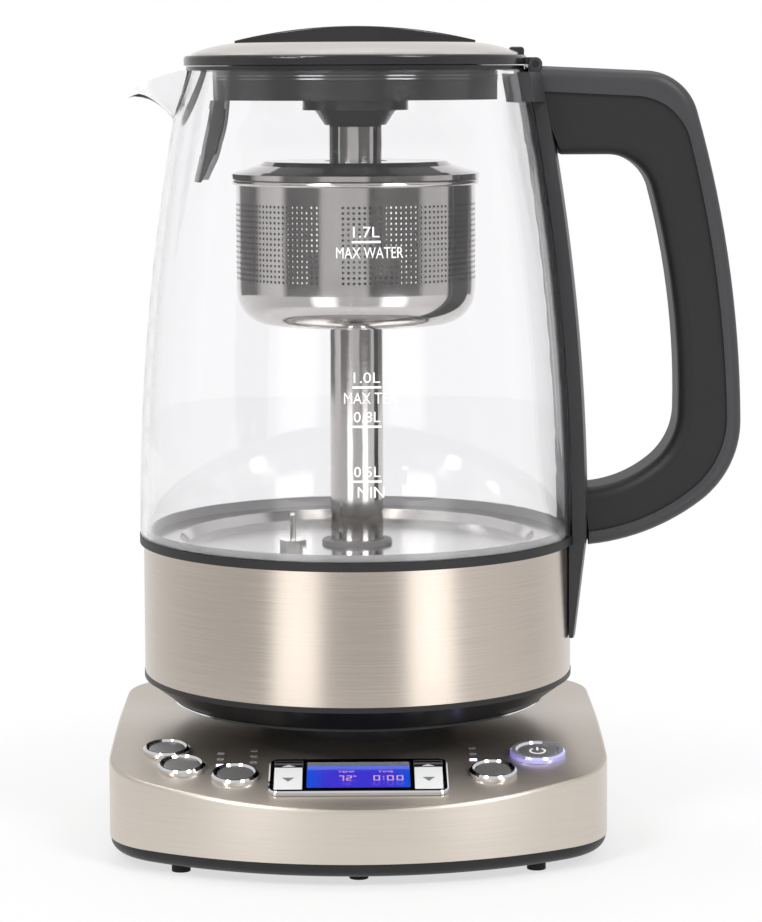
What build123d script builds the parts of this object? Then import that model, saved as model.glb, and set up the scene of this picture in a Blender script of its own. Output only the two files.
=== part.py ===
from build123d import *
import math
import os

# Origin on the jug axis at the floor. +X points to the handle, -Y to the control front, +Z up.
# All sizes are in millimetres.

# ---------------------------------------------------------------- clearances
SLIDE_GAP = 0.15         # moulded part sliding in a moulded guide, all round
RUN_GAP = 0.05           # turned pin in its bore, on the radius
SEAT_GAP = 0.30          # loose seat between curved parts that move apart
ASSEMBLY_GAP = 0.10      # between parts fixed together
OVERCUT = 1.0            # reach of a cut past the open face it leaves through
CLEAR = 60.0             # reach of a cutting solid past all that it cuts
TOUCH = 0.01             # two lengths closer than this are the same

# ---------------------------------------------------------------- power base
FOOT_HEIGHT = 3.0
FOOT_RADIUS = 3.2
FOOT_SPIGOT_RADIUS = 2.3
BASE_HALF_WIDTH = 85.5
BASE_HALF_DEPTH = 92.4
BASE_FRONT_RADIUS = 130.0
BASE_CORNER_RADIUS = 30.0
SKIRT_FOOT_Z = 8.0
PANEL_Z = 39.0
PANEL_BEND_RADIUS = 410.0
PANEL_BEND_Y = 10.0
PANEL_EDGE_RADIUS = 1.2
SHELL_WALL = 1.0
TRAY_FLOOR = 2.4
TRAY_WALL = 2.2
TRAY_ROUND = 4.6
TRAY_SETBACK = 0.3
TRAY_LIP_HEIGHT = 4.0
TOWER_RADIUS = 27.0
TOWER_WALL = 3.0
TOWER_HOLE_RADIUS = 24.5
PEDESTAL_RADIUS = 34.0
PEDESTAL_RISE = 7.8
SCREW_SHANK_RADIUS = 1.5
SCREW_HEAD_RADIUS = 3.0
SCREW_HEAD_HEIGHT = 1.8
TOWER_SCREW_RADIUS = 19.0
TOWER_SCREW_COUNT = 4
TOWER_BOSS_CAP = 6.0
SCREW_BITE = 2.0
PEDESTAL_EDGE = 1.5
BOARD_POSTS = [(-62.0, 47.4), (62.0, 47.4), (-34.0, 16.4), (34.0, 16.4)]  # x, and distance from the front edge
BOARD_POST_RADIUS = 3.0
FRONT_FEET = [(0.0, 14.4), (-60.0, 25.4), (60.0, 25.4)]  # x, and distance from the front edge
REAR_FEET = [(-58.0, 25.4), (58.0, 25.4)]  # x, and distance from the rear edge
INLET_Z = 18.0
INLET_RADIUS = 5.0
INLET_BORE_RADIUS = 3.3
INLET_FLANGE = 1.8
INLET_FLANGE_LIP = 1.6
INLET_LENGTH = 9.0
INLET_TAPER = 1.0
POWER_BOARD_SETBACK = 34.4
POWER_BOARD_WIDTH = 84.0
POWER_BOARD_LENGTH = 34.0
POWER_BOARD_STANDOFF = 3.0
STANDOFF_RADIUS = 2.5
STANDOFF_INSET = 4.0
RELAY_X = -22.0
RELAY_SIZE = (19.0, 15.5, 15.0)
TRANSFORMER_X = 16.0
TRANSFORMER_CORE = (26.0, 22.0, 18.0)
TRANSFORMER_WINDING = (18.0, 30.0, 12.0)

# ---------------------------------------------------------------- base connector
PLUG_RADIUS = 10.5
PLUG_TOP_Z = 56.0
PLUG_FLANGE_RADIUS = 15.0
PLUG_FLANGE = 2.0
PLUG_EDGE = 1.2
CONTACT_PIN_RADIUS = 1.6
CONTACT_PIN_TOP_Z = 59.0
CONTACT_PIN_TAIL = 4.0
CONTACT_PIN_CHAMFER = 0.6
CONTACT_RING_RADIUS = 6.8
CONTACT_RING_WALL = 1.2
CONTACT_RING_HEIGHT = 8.0

# ---------------------------------------------------------------- controls
BOARD_DEPTH = 9.0
BOARD_THICKNESS = 1.6
BOARD_FRONT = -14.0
BOARD_REAR = 29.0
BOARD_INSET = 6.0
SWITCH_SIDE = 6.0
SWITCH_HEIGHT = 1.9
SWITCH_PLAY = 0.15
PLUNGER_RADIUS = 1.6
PLUNGER_RISE = 0.4
BUTTON_TRAVEL = 1.0
BUTTON_RADIUS = 6.1
BUTTON_RISE = 1.3
BUTTON_BODY_DEPTH = 3.0
BUTTON_FLANGE = 0.8
BUTTON_FLANGE_LIP = 0.9
BUTTON_EDGE = 0.5
BUTTON_STEM_RADIUS = 1.8
RING_RADIUS = 8.1
RING_RISE = 2.0
RING_SPIGOT_WALL = 1.2
RING_CHAMFER = 0.7
POWER_BUTTON_RADIUS = 6.7
POWER_RING_RADIUS = 9.5
BUTTON_SETBACKS = {  # x, and distance from the front edge
    "left_rear_button": (-66.0, 49.4),
    "left_middle_button": (-60.0, 33.9),
    "left_front_button": (-41.6, 25.9),
    "right_front_button": (45.5, 27.9),
    "power_button": (61.5, 44.4),
}
INDICATOR_COLUMNS = [(-47.2, 46.9), (-35.8, 49.4), (39.3, 50.7)]  # x, and the rear lamp from the front edge
INDICATOR_PITCH = 5.5
INDICATOR_COUNT = 3
INDICATOR_WIDTH = 2.4
INDICATOR_LENGTH = 1.4
INDICATOR_RISE = 0.2
INDICATOR_DEPTH = 2.0

DISPLAY_SETBACK = 23.9
BEZEL_WIDTH = 60.4
BEZEL_LENGTH = 27.4
BEZEL_CORNER = 3.4
BEZEL_RISE = 1.5
BEZEL_DEPTH = 1.2
BEZEL_LIP = 0.7
BEZEL_CHAMFER = 0.5
WINDOW_WIDTH = 35.0
WINDOW_LENGTH = 21.0
WINDOW_CORNER = 0.8
LENS_RISE = 0.9
LCD_MARGIN = 1.0
LCD_THICKNESS = 2.8
CARRIER_WALL = 1.5
CARRIER_TONGUE_LENGTH = 5.0
CARRIER_TONGUE_THICKNESS = 1.0
KEY_WIDTH = 9.4
KEY_LENGTH = 22.4
KEY_CENTRE_X = 23.6
KEY_SIDE_GAP = 0.3
KEY_END_GAP = 0.6
KEY_RIDGE_Y = 3.6
KEY_RIDGE_RISE = 2.5
KEY_END_RISE = 0.9
KEY_UNDERSIDE = 2.2
KEY_SWITCH_REACH = 1.1
ROCKER_PIN_RADIUS = 1.0
ROCKER_PIN_DEPTH = 5.6
ROCKER_EAR_WALL = 1.2
ROCKER_EAR_LENGTH = 6.0
ROCKER_WEB_LENGTH = 4.4
ROCKER_WEB_SETBACK = 2.0
ROCKER_WEB_SKIN = 1.2

# ---------------------------------------------------------------- jug shell
GLASS_FOOT_RADIUS = 77.0
GLASS_RIM_RADIUS = 60.7
GLASS_FOOT_Z = 106.0
GLASS_RIM_Z = 269.2
GLASS_WALL = 2.8
SPOUT_REACH = 18.8
SPOUT_LIP_FALL = 8.6
SPOUT_DEPTH = 27.0
SPOUT_HALF_WIDTH = 20.0
SPOUT_WALL = 2.2
SPOUT_ROOT_DEPTH = 14.0
SPOUT_TRIM = 6.0
SPOUT_FULLNESS = 0.9     # how far the trough's sides stay upright, as a share of its half width
SPOUT_ARCH = (0.55, 0.34)
SEAL_PROUD = 0.2
SEAL_HEIGHT = 3.0
SEAL_LIP = 1.3
SEAL_LIP_HEIGHT = 2.2
BAND_SETBACK = 1.2
BAND_WALL = 1.2
BAND_FLANGE = 6.0
TRIM_TOP_Z = 57.0
TRIM_HEIGHT = 1.8
TRIM_WIDTH = 6.0
TRIM_PROUD = 0.2
COVER_FOOT_RADIUS = 65.7
COVER_WALL = 2.2
COVER_LIP = 0.9
COVER_RIM_WIDTH = 3.2
COVER_POST_COUNT = 3
COVER_POST_RADIUS = 4.5
COVER_POST_INSET = 5.0
COVER_POST_CAP = 12.0
PAN_FLOOR_Z = 101.5
PAN_WALL = 1.2
PAN_RIM_WIDTH = 11.7
PAN_FLANGE_Z = 104.9
PAN_STEP_WIDTH = 2.0
HEAT_PLATE_SETBACK = 5.0
HEAT_PLATE_THICKNESS = 3.0
ELEMENT_SETBACK = 16.0
ELEMENT_TUBE_RADIUS = 3.6
ELEMENT_GAP_DEG = 40.0
ELEMENT_END_DEG = 4.0
COLD_END_RADIUS = 1.6
COLD_END_LENGTH = 12.0
PROBE_X = -22.6
PROBE_Y = -12.0
PROBE_RADIUS = 1.1
PROBE_RISE = 12.5
PROBE_TAIL = 4.0
PROBE_TIP_EDGE = 0.8
PROBE_HOLE_GAP = 0.6
PROBE_NUT_FLATS = 8.0
PROBE_NUT_HEIGHT = 3.0
SOCKET_RADIUS = 17.0
SOCKET_BORE_GAP = 0.5
SOCKET_CEILING = 2.6
SOCKET_TOP_GAP = 1.0

# ---------------------------------------------------------------- column and drive
COLUMN_RADIUS = 9.4
COLUMN_WALL = 1.0
COLUMN_FOOT_Z = 88.0
COLUMN_SHOULDER_Z = 249.2
COLUMN_CROWN_RISE = 5.0
COLUMN_CROWN_RADIUS = 4.5
COLUMN_CROWN_DRAW = 0.4
COLUMN_SEAL_RADIUS = 12.5
COLUMN_SEAL_HEIGHT = 1.6
COLUMN_SEAL_EDGE = 0.7
COLUMN_NUT_FLATS = 26.0
COLUMN_NUT_HEIGHT = 4.0
COLUMN_NUT_GAP = 1.0
SCREW_RADIUS = 2.5
SCREW_CHAMFER = 0.6
SCREW_TOP_Z = 240.0
BEARING_HEIGHT = 6.0
MOTOR_RADIUS = 13.0
MOTOR_HEIGHT = 20.0
MOTOR_CHAMFER = 0.8
MOTOR_SHAFT_RADIUS = 1.6
MOTOR_SHAFT_LENGTH = 4.0
COUPLING_RADIUS = 4.5
MOTOR_LUG_CIRCLE = 24.0
MOTOR_LUG_RADIUS = 4.5
MOTOR_LUG_WALL = 1.6
MOTOR_LUG_COUNT = 3
MOTOR_LUG_TURN = 30.0
MOTOR_LUG_ROOT = 19.2
MOTOR_POST_RADIUS = 3.0
CARRIAGE_HEIGHT = 22.0
CARRIAGE_GAP = 0.4
CARRIAGE_RIM = 4.0
CARRIAGE_CORE_RADIUS = 6.2

# ---------------------------------------------------------------- tea basket
BASKET_LOWERED_Z = 120.0
BASKET_TRAVEL = 60.0
BASKET_RADIUS = 42.2
BASKET_WALL = 0.8
BASKET_CORNER_RADIUS = 12.0
BASKET_RIM_Z = 231.0
BASKET_BEAD_RADIUS = 43.6
BASKET_BEAD_HEIGHT = 2.0
BASKET_BEAD_EDGE = 0.8
BASKET_HOLE_RADIUS = 1.3
BASKET_HOLE_ROWS = 4
BASKET_HOLE_COLUMNS = 30
BASKET_HOLES_LOW_Z = 197.0
BASKET_HOLES_HIGH_Z = 218.0
SLEEVE_GAP = 0.4
SLEEVE_WALL = 1.0
MAGNET_CASE_RADIUS = 16.0
MAGNET_CASE_HEIGHT = 24.0
MAGNET_CASE_WALL = 1.0
MAGNET_CASE_EDGE = 1.0
BASKET_LID_RADIUS = 43.75
BASKET_LID_RIM = 2.6
BASKET_LID_CROWN = 3.4
BASKET_LID_WALL = 0.9
BASKET_LID_STEP_RADIUS = 34.0
BASKET_LID_STEP = 1.4
BASKET_LID_STEP_RUN = 1.8
BASKET_LID_SHOULDER = 2.4
BASKET_LID_EDGE = 0.8
BASKET_LID_SEAT = 2.0

# ---------------------------------------------------------------- mouth, lid and hinge
COLLAR_BORE_RADIUS = 46.0
COLLAR_RADIUS = 50.0
COLLAR_FOOT_Z = 258.6
COLLAR_FLANGE_RADIUS = 59.4
COLLAR_FLANGE = 1.4
FILTER_TIP_Z = 230.3
FILTER_HALF_ANGLE = 18.0
FILTER_OUTER_RADIUS = 51.0
FILTER_INNER_RADIUS = 47.4
FILTER_OUTER_WAIST = 54.0
FILTER_INNER_WAIST = 50.2
FILTER_WAIST_DROP = 15.6
FILTER_TIP_RADIUS = 56.8
FILTER_TIP_WIDTH = 0.9
FILTER_WINDOW_FRAME = 3.7
FILTER_WINDOW_DROP = 3.0
FILTER_WINDOW_RISE = 9.0
FILTER_MESH_INSET = 0.4
FILTER_MESH_WALL = 0.5
LID_RADIUS = 60.2
LID_RIM_HEIGHT = 3.4
LID_RIM_GAP = 0.3
LID_RIM_BORE = 42.0
LID_RIM_EDGE = 1.2
LID_CAP_RADIUS = 57.6
LID_CAP_RISE = 4.3
LID_CAP_FLAT_RADIUS = 43.0
LID_CAP_EDGE = 0.7
LID_CAP_WALL = 0.8
LID_CAP_ARCH = 0.16      # rise of the shoulder over its chord, as a share of its height
PLUG_CUP_RADIUS = 44.6
PLUG_CUP_WALL = 2.0
PLUG_CUP_HEADROOM = 1.0
LID_SEAL_PROUD = 1.0
LID_SEAL_HEIGHT = 3.0
LID_SEAL_WALL = 1.6
LID_SEAL_DROP = 1.6
LID_SEAL_EDGE = 0.3
CONE_FLANGE_RADIUS = 18.6
CONE_FLANGE_HEIGHT = 3.6
CONE_TOP_RADIUS = 14.3
CONE_MOUTH_RADIUS = 10.8
CONE_DEPTH = 5.2
CONE_WALL = 1.4
CONE_LIP_WALL = 0.8
LIFT_BAR_LENGTH = 84.5
LIFT_BAR_HALF_WIDTH = 13.0
LIFT_BAR_RISE = 5.8
LIFT_BAR_END_RISE = 0.9
LIFT_BAR_TIP_HALF_WIDTH = 2.0
LIFT_BAR_EDGE = 0.6
HINGE_X = 62.7
HINGE_Z = 271.0
HINGE_PIN_RADIUS = 1.3
HINGE_BARREL_RADIUS = 2.35
HINGE_INNER_HALF = 9.6
HINGE_EAR_WALL = 4.2
HINGE_STEM_ROOT = 4.0
LID_LUG_X = 54.0
LID_LUG_LENGTH = 5.2
LID_LUG_HALF_WIDTH = 5.0
LID_LUG_RISE = 2.8
LID_LUG_SINK = 1.0
LID_LUG_EDGE = 1.2

# ---------------------------------------------------------------- handle
STRAP_THICKNESS = 5.0
STRAP_HALF_ANGLE = 12.5
STRAP_FOOT_Z = 69.5
STRAP_FOOT_THICKNESS = 1.4
STRAP_GAP = 0.4
NECK_BLOCK_HALF_ANGLE = 25.0
NECK_BLOCK_FOOT_Z = 258.0
NECK_BLOCK_TOP_Z = 268.2
GRIP_HALF_WIDTH = 14.0
SPINE_HALF_WIDTH = 15.0
GRIP_EDGE_RADIUS = 5.0
SPINE_EDGE_RADIUS = 4.0
HANDLE_SCREW_LENGTH = 14.0
HANDLE_SCREW_HEAD_RADIUS = 3.0
HANDLE_SCREW_RADIUS = 1.4
HANDLE_SCREW_LOW_Z = 112.0
HANDLE_SCREW_HIGH_Z = 250.0
HANDLE_TRIM = 8.0

# Stations of the spout from its root to its tip: share of the reach past the rim, of the depth under the
# rim, of the half width and of the wall.
SPOUT_STATIONS = [(-0.45, 1.20, 1.15, 1.0), (0.02, 0.80, 0.85, 1.0), (0.28, 0.55, 0.58, 1.0),
                  (0.58, 0.39, 0.37, 0.9), (1.0, 0.355, 0.13, 0.45)]
SPOUT_STATION_SHIFT = 0.2

# Side outlines of the handle as (x, z) points: a straight top run, then tangent arcs from point to point
# round the corner, down the back, round the heel and along the tail.
SPINE_POINTS = [(63.0, 270.4), (101.6, 268.6), (119.3, 254.6), (135.1, 146.0), (121.0, 117.3), (81.5, 102.0)]
SEAM_POINTS = [(63.0, 261.6), (98.0, 259.8), (116.6, 244.6), (129.9, 148.0), (117.6, 121.8), (81.5, 107.0)]
HOLE_POINTS = [(72.0, 239.4), (88.0, 239.4), (103.5, 227.5), (113.0, 149.0), (104.5, 131.3), (80.0, 122.0)]

# ---------------------------------------------------------------- sizes worked out from those above
PANEL_CENTRE_Z = PANEL_Z - PANEL_BEND_RADIUS
PLATE_UNDERSIDE_Z = PANEL_Z - SHELL_WALL
SEAT_Z = PANEL_Z + PEDESTAL_RISE
DISPLAY_Y = DISPLAY_SETBACK - BASE_HALF_DEPTH
BUTTON_PLACES = {name: (x, setback - BASE_HALF_DEPTH) for name, (x, setback) in BUTTON_SETBACKS.items()}
BAND_RADIUS = GLASS_FOOT_RADIUS - BAND_SETBACK
SEAL_RADIUS = GLASS_FOOT_RADIUS + SEAL_PROUD
GLASS_RISE = GLASS_RIM_Z - GLASS_FOOT_Z
GLASS_DRAW = GLASS_FOOT_RADIUS - GLASS_RIM_RADIUS
GLASS_ARC_RADIUS = (GLASS_RISE ** 2 + GLASS_DRAW ** 2) / (2 * GLASS_DRAW)
GLASS_ARC_CENTRE = GLASS_FOOT_RADIUS - GLASS_ARC_RADIUS
SEAL_FOOT_Z = GLASS_FOOT_Z - SEAL_HEIGHT
GLASS_BORE_RADIUS = GLASS_FOOT_RADIUS - GLASS_WALL
SEAL_BORE_RADIUS = GLASS_BORE_RADIUS - ASSEMBLY_GAP - SEAL_LIP
PAN_RADIUS = SEAL_BORE_RADIUS - ASSEMBLY_GAP
PAN_DISH_RADIUS = PAN_RADIUS - PAN_RIM_WIDTH
HEAT_PLATE_RADIUS = PAN_DISH_RADIUS - HEAT_PLATE_SETBACK
ELEMENT_RADIUS = HEAT_PLATE_RADIUS - ELEMENT_SETBACK
COVER_TOP_Z = TRIM_TOP_Z - TRIM_HEIGHT
FOOT_SPIGOT_TOP_Z = FOOT_HEIGHT + TRAY_FLOOR / 2
TRAY_FLOOR_Z = FOOT_HEIGHT + TRAY_FLOOR
POWER_BOARD_Y = BASE_HALF_DEPTH - POWER_BOARD_SETBACK
POWER_BOARD_Z = TRAY_FLOOR_Z + POWER_BOARD_STANDOFF
BORE_RADIUS = COLUMN_RADIUS - COLUMN_WALL
SLEEVE_BORE_RADIUS = COLUMN_RADIUS + SLEEVE_GAP
SLEEVE_RADIUS = SLEEVE_BORE_RADIUS + SLEEVE_WALL
BASKET_FLOOR_Z = BASKET_LOWERED_Z + BASKET_TRAVEL
BASKET_BORE_RADIUS = BASKET_RADIUS - BASKET_WALL
LID_SEAL_RADIUS = PLUG_CUP_RADIUS + LID_SEAL_PROUD
LID_SEAL_BORE = LID_SEAL_RADIUS - LID_SEAL_WALL
LID_RIM_FOOT_Z = GLASS_RIM_Z + COLLAR_FLANGE + LID_RIM_GAP
LID_RIM_TOP_Z = LID_RIM_FOOT_Z + LID_RIM_HEIGHT
CONE_TOP_Z = COLLAR_FOOT_Z - CONE_FLANGE_HEIGHT
LIFT_BAR_FOOT_Z = LID_RIM_TOP_Z + LID_CAP_RISE
SOCKET_CEILING_Z = PLUG_TOP_Z + SOCKET_TOP_GAP
SOCKET_TOP_Z = SOCKET_CEILING_Z + SOCKET_CEILING
MOTOR_FOOT_Z = SOCKET_TOP_Z + SEAT_GAP
MOTOR_TOP_Z = MOTOR_FOOT_Z + MOTOR_HEIGHT
HEAT_PLATE_FOOT_Z = PAN_FLOOR_Z - PAN_WALL - HEAT_PLATE_THICKNESS
BOARD_TOP = -BOARD_DEPTH
LCD_TOP = -BEZEL_DEPTH - ASSEMBLY_GAP
LCD_FOOT = LCD_TOP - LCD_THICKNESS

parts = {}


# ---------------------------------------------------------------- shared shapes
def tube(outer, inner, low, high):
    """Ring about Z between two heights."""
    wall = Circle(outer) - Circle(inner)
    return Pos(0, 0, low) * extrude(wall, high - low)


def disc(radius, low, high, x=0.0, y=0.0):
    """Solid cylinder standing at x, y."""
    return Pos(x, y, low) * extrude(Circle(radius), high - low)


def turned(edges):
    """Full turn about Z of a closed profile in the XZ plane."""
    return revolve(make_face(edges), Axis.Z)


def profile(points):
    """Closed polygon of (x, z) points, as edges in the XZ plane."""
    return Polyline([(x, 0, z) for x, z in points], close=True)


def xz(point):
    """Place an (x, z) pair in the XZ plane."""
    return (point[0], 0, point[1])


def hexagon(flats, low, high, x=0.0, y=0.0):
    """Hexagonal bar across the given flats."""
    return Pos(x, y, low) * extrude(RegularPolygon(flats / math.sqrt(3), 6), high - low)


def around(count, radius, start=0.0):
    """Evenly spaced (x, y) places on a circle."""
    for index in range(count):
        angle = math.radians(start + 360.0 * index / count)
        yield radius * math.cos(angle), radius * math.sin(angle)


def part_turn(edges, half_angle, middle=0.0):
    """Part turn about Z of a closed profile, centred on the given direction."""
    wedge = revolve(make_face(edges), Axis.Z, revolution_arc=2 * half_angle)
    return Rot(0, 0, middle - half_angle) * wedge


def box_profile(inner, outer, low, high):
    """Rectangular profile between two radii and two heights."""
    return profile([(inner, low), (outer, low), (outer, high), (inner, high)])


def save(name, shape):
    """Keep a node; its solids are written to one file."""
    parts[name] = shape


# ---------------------------------------------------------------- panel surface of the base
def panel_z(y, inset=0.0):
    """Height of the top panel at depth y, drawn in by inset."""
    if y >= PANEL_BEND_Y:
        return PANEL_Z - inset
    reach = PANEL_BEND_Y - y
    return PANEL_CENTRE_Z + math.sqrt((PANEL_BEND_RADIUS - inset) ** 2 - reach ** 2)


def panel_tilt(y):
    """Slope of the panel in degrees, positive where it falls to the front."""
    return math.degrees(math.asin(max(PANEL_BEND_Y - y, 0.0) / PANEL_BEND_RADIUS))


def on_panel(x, y):
    """Frame on the panel with Z out of the surface and Y up the slope."""
    return Location((x, y, panel_z(y)), (panel_tilt(y), 0, 0))


DISPLAY = on_panel(0.0, DISPLAY_Y)


def panel_box(width, length, low, high, x=0.0, y=0.0, corner=0.0):
    """Block in the display's frame, between two heights off the panel."""
    outline = RectangleRounded(width, length, corner) if corner else Rectangle(width, length)
    return DISPLAY * Pos(x, y, low) * extrude(outline, high - low)


def base_plan(inset=0.0):
    """Plan outline of the base: bowed front and back, straight flanks, round corners."""
    half = BASE_HALF_WIDTH - inset
    bow = BASE_FRONT_RADIUS - inset
    centre = BASE_FRONT_RADIUS - BASE_HALF_DEPTH
    corner = math.sqrt(bow ** 2 - half ** 2) - centre
    depth = BASE_HALF_DEPTH - inset
    outline = [
        ThreePointArc((-half, -corner), (0, -depth), (half, -corner)),
        Line((half, -corner), (half, corner)),
        ThreePointArc((half, corner), (0, depth), (-half, corner)),
        Line((-half, corner), (-half, -corner)),
    ]
    face = make_face(outline)
    return fillet(face.vertices(), BASE_CORNER_RADIUS - inset)


def base_block(inset, foot):
    """Block of the base's plan under the bent panel, drawn in by inset."""
    radius = PANEL_BEND_RADIUS - inset
    front = -(BASE_HALF_DEPTH + CLEAR)
    sweep = math.asin((PANEL_BEND_Y - front) / radius)
    middle = (PANEL_BEND_Y - radius * math.sin(sweep / 2), PANEL_CENTRE_Z + radius * math.cos(sweep / 2))
    start = (front, PANEL_CENTRE_Z + radius * math.cos(sweep))
    top = PANEL_Z - inset
    rest = [(PANEL_BEND_Y, top), (-front, top), (-front, foot), (front, foot), start]
    side = [
        ThreePointArc((0, *start), (0, *middle), (0, PANEL_BEND_Y, top)),
        Polyline([(0, y, z) for y, z in rest]),
    ]
    under_panel = extrude(make_face(side), BASE_HALF_WIDTH + CLEAR, dir=(1, 0, 0), both=True)
    body = Pos(0, 0, foot) * extrude(base_plan(inset), PANEL_Z) & under_panel
    crest = [edge for edge in body.edges() if is_crest(edge, foot)]
    return fillet(crest, PANEL_EDGE_RADIUS - inset)


def is_crest(edge, foot):
    """True for the edges where the panel meets the skirt."""
    box = edge.bounding_box()
    upright = box.size.X < TOUCH and box.size.Y < TOUCH
    low = box.max.Z < foot + TOUCH
    across = box.size.Y < TOUCH and box.size.X > BASE_HALF_WIDTH
    return not (upright or low or across)


# ---------------------------------------------------------------- base pieces
def make_tray():
    """Black lower housing with its lip, tower, screw bosses and board posts."""
    outer = Pos(0, 0, FOOT_HEIGHT) * extrude(base_plan(TRAY_SETBACK), SKIRT_FOOT_Z - FOOT_HEIGHT)
    outer = fillet(outer.edges().group_by(Axis.Z)[0], TRAY_ROUND)
    lip_inset = SHELL_WALL + ASSEMBLY_GAP
    lip_wall = base_plan(lip_inset) - base_plan(lip_inset + TRAY_WALL)
    lip = Pos(0, 0, SKIRT_FOOT_Z) * extrude(lip_wall, TRAY_LIP_HEIGHT)
    pocket_inset = TRAY_SETBACK + TRAY_ROUND + TRAY_WALL
    pocket = Pos(0, 0, TRAY_FLOOR_Z) * extrude(base_plan(pocket_inset), CLEAR)
    tower = tube(TOWER_RADIUS, TOWER_RADIUS - TOWER_WALL, TRAY_FLOOR_Z, PANEL_Z)
    tray = outer - pocket + lip + (tower & base_block(SHELL_WALL, FOOT_HEIGHT))
    boss_radius = SCREW_HEAD_RADIUS + TOWER_WALL / 2
    for x, y in tower_screw_places():
        tray += disc(boss_radius, TRAY_FLOOR_Z, PLATE_UNDERSIDE_Z - TOWER_WALL, x, y)
    tray += board_posts()
    for x, y in tower_screw_places():
        tray -= disc(SCREW_SHANK_RADIUS, FOOT_HEIGHT, PLATE_UNDERSIDE_Z, x, y)
        tray -= disc(SCREW_HEAD_RADIUS + ASSEMBLY_GAP, FOOT_HEIGHT, screw_seat_z(), x, y)
    for x, y in foot_places():
        tray -= disc(FOOT_SPIGOT_RADIUS, FOOT_HEIGHT, FOOT_SPIGOT_TOP_Z, x, y)
    return tray - inlet_cutter()


def tower_screw_places():
    """Places of the base screws round the tower."""
    return list(around(TOWER_SCREW_COUNT, TOWER_SCREW_RADIUS, 180.0 / TOWER_SCREW_COUNT))


def screw_seat_z():
    """Height where the base screws' heads bear, inside their bosses."""
    return PLATE_UNDERSIDE_Z - TOWER_WALL - TOWER_BOSS_CAP


def board_slab(top, thickness, inset):
    """Slab parallel to the display, cut to the base's plan."""
    length = BOARD_REAR - BOARD_FRONT
    slab = panel_box(2 * BASE_HALF_WIDTH, length, top - thickness, top, y=(BOARD_REAR + BOARD_FRONT) / 2)
    return slab & extrude(base_plan(inset), PANEL_Z)


def board_posts():
    """Posts from the tray floor to the underside of the control board."""
    above = panel_box(3 * BASE_HALF_WIDTH, 3 * BASE_HALF_DEPTH, BOARD_TOP - BOARD_THICKNESS, CLEAR)
    posts = Part()
    for x, setback in BOARD_POSTS:
        posts += disc(BOARD_POST_RADIUS, TRAY_FLOOR_Z, PANEL_Z, x, setback - BASE_HALF_DEPTH)
    return posts - above


def foot_places():
    """Places of the feet, three in front and two behind."""
    front = [(x, setback - BASE_HALF_DEPTH) for x, setback in FRONT_FEET]
    return front + [(x, BASE_HALF_DEPTH - setback) for x, setback in REAR_FEET]


def make_feet():
    """Rubber feet with a spigot in the tray."""
    return Compound([
        disc(FOOT_RADIUS, 0, FOOT_HEIGHT, x, y)
        + disc(FOOT_SPIGOT_RADIUS, FOOT_HEIGHT, FOOT_SPIGOT_TOP_Z, x, y)
        for x, y in foot_places()
    ])


def control_holes():
    """Everything that passes through the panel."""
    holes = panel_box(BEZEL_WIDTH - 2 * BEZEL_LIP, BEZEL_LENGTH - 2 * BEZEL_LIP, -CLEAR / 4, CLEAR / 4,
                      corner=BEZEL_CORNER - BEZEL_LIP)
    for name, (x, y) in BUTTON_PLACES.items():
        radius = button_radius(name) + SLIDE_GAP + RING_SPIGOT_WALL + ASSEMBLY_GAP
        holes += on_panel(x, y) * disc(radius, -CLEAR / 8, CLEAR / 8)
    for x, y in indicator_places():
        slot = Rectangle(INDICATOR_WIDTH + 2 * RUN_GAP, INDICATOR_LENGTH + 2 * RUN_GAP)
        holes += on_panel(x, y) * Pos(0, 0, -CLEAR / 8) * extrude(slot, CLEAR / 4)
    return holes


def make_shell():
    """Steel shell of the base: bent panel and skirt in one pressing."""
    shell = base_block(0.0, SKIRT_FOOT_Z) - base_block(SHELL_WALL, SKIRT_FOOT_Z - OVERCUT)
    shell -= disc(TOWER_HOLE_RADIUS, PANEL_Z - CLEAR / 8, PANEL_Z + CLEAR / 8)
    shell -= control_holes()
    return shell - inlet_cutter()


def inlet_frame():
    """Frame on the rear skirt with Z pointing backwards."""
    return Location((0, BASE_HALF_DEPTH, INLET_Z), (-90, 0, 0))


def inlet_cutter():
    """Hole through the rear skirt and tray lip for the cord inlet."""
    return inlet_frame() * disc(INLET_RADIUS, -CLEAR / 4, CLEAR)


def make_inlet():
    """Rubber inlet bush at the back, with a flange inside and out and a tapered nozzle."""
    inner_face = -SHELL_WALL - TRAY_WALL - 2 * ASSEMBLY_GAP
    flange_radius = INLET_RADIUS + INLET_FLANGE_LIP
    bush = disc(INLET_RADIUS - ASSEMBLY_GAP, inner_face, INLET_FLANGE)
    bush += disc(flange_radius, ASSEMBLY_GAP, INLET_FLANGE)
    bush += disc(flange_radius, inner_face - INLET_FLANGE, inner_face)
    nozzle = Cone(INLET_RADIUS, INLET_RADIUS - INLET_TAPER, INLET_LENGTH)
    bush += Pos(0, 0, INLET_FLANGE + INLET_LENGTH / 2) * nozzle
    bush -= disc(INLET_BORE_RADIUS, -CLEAR, CLEAR)
    return inlet_frame() * bush


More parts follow.
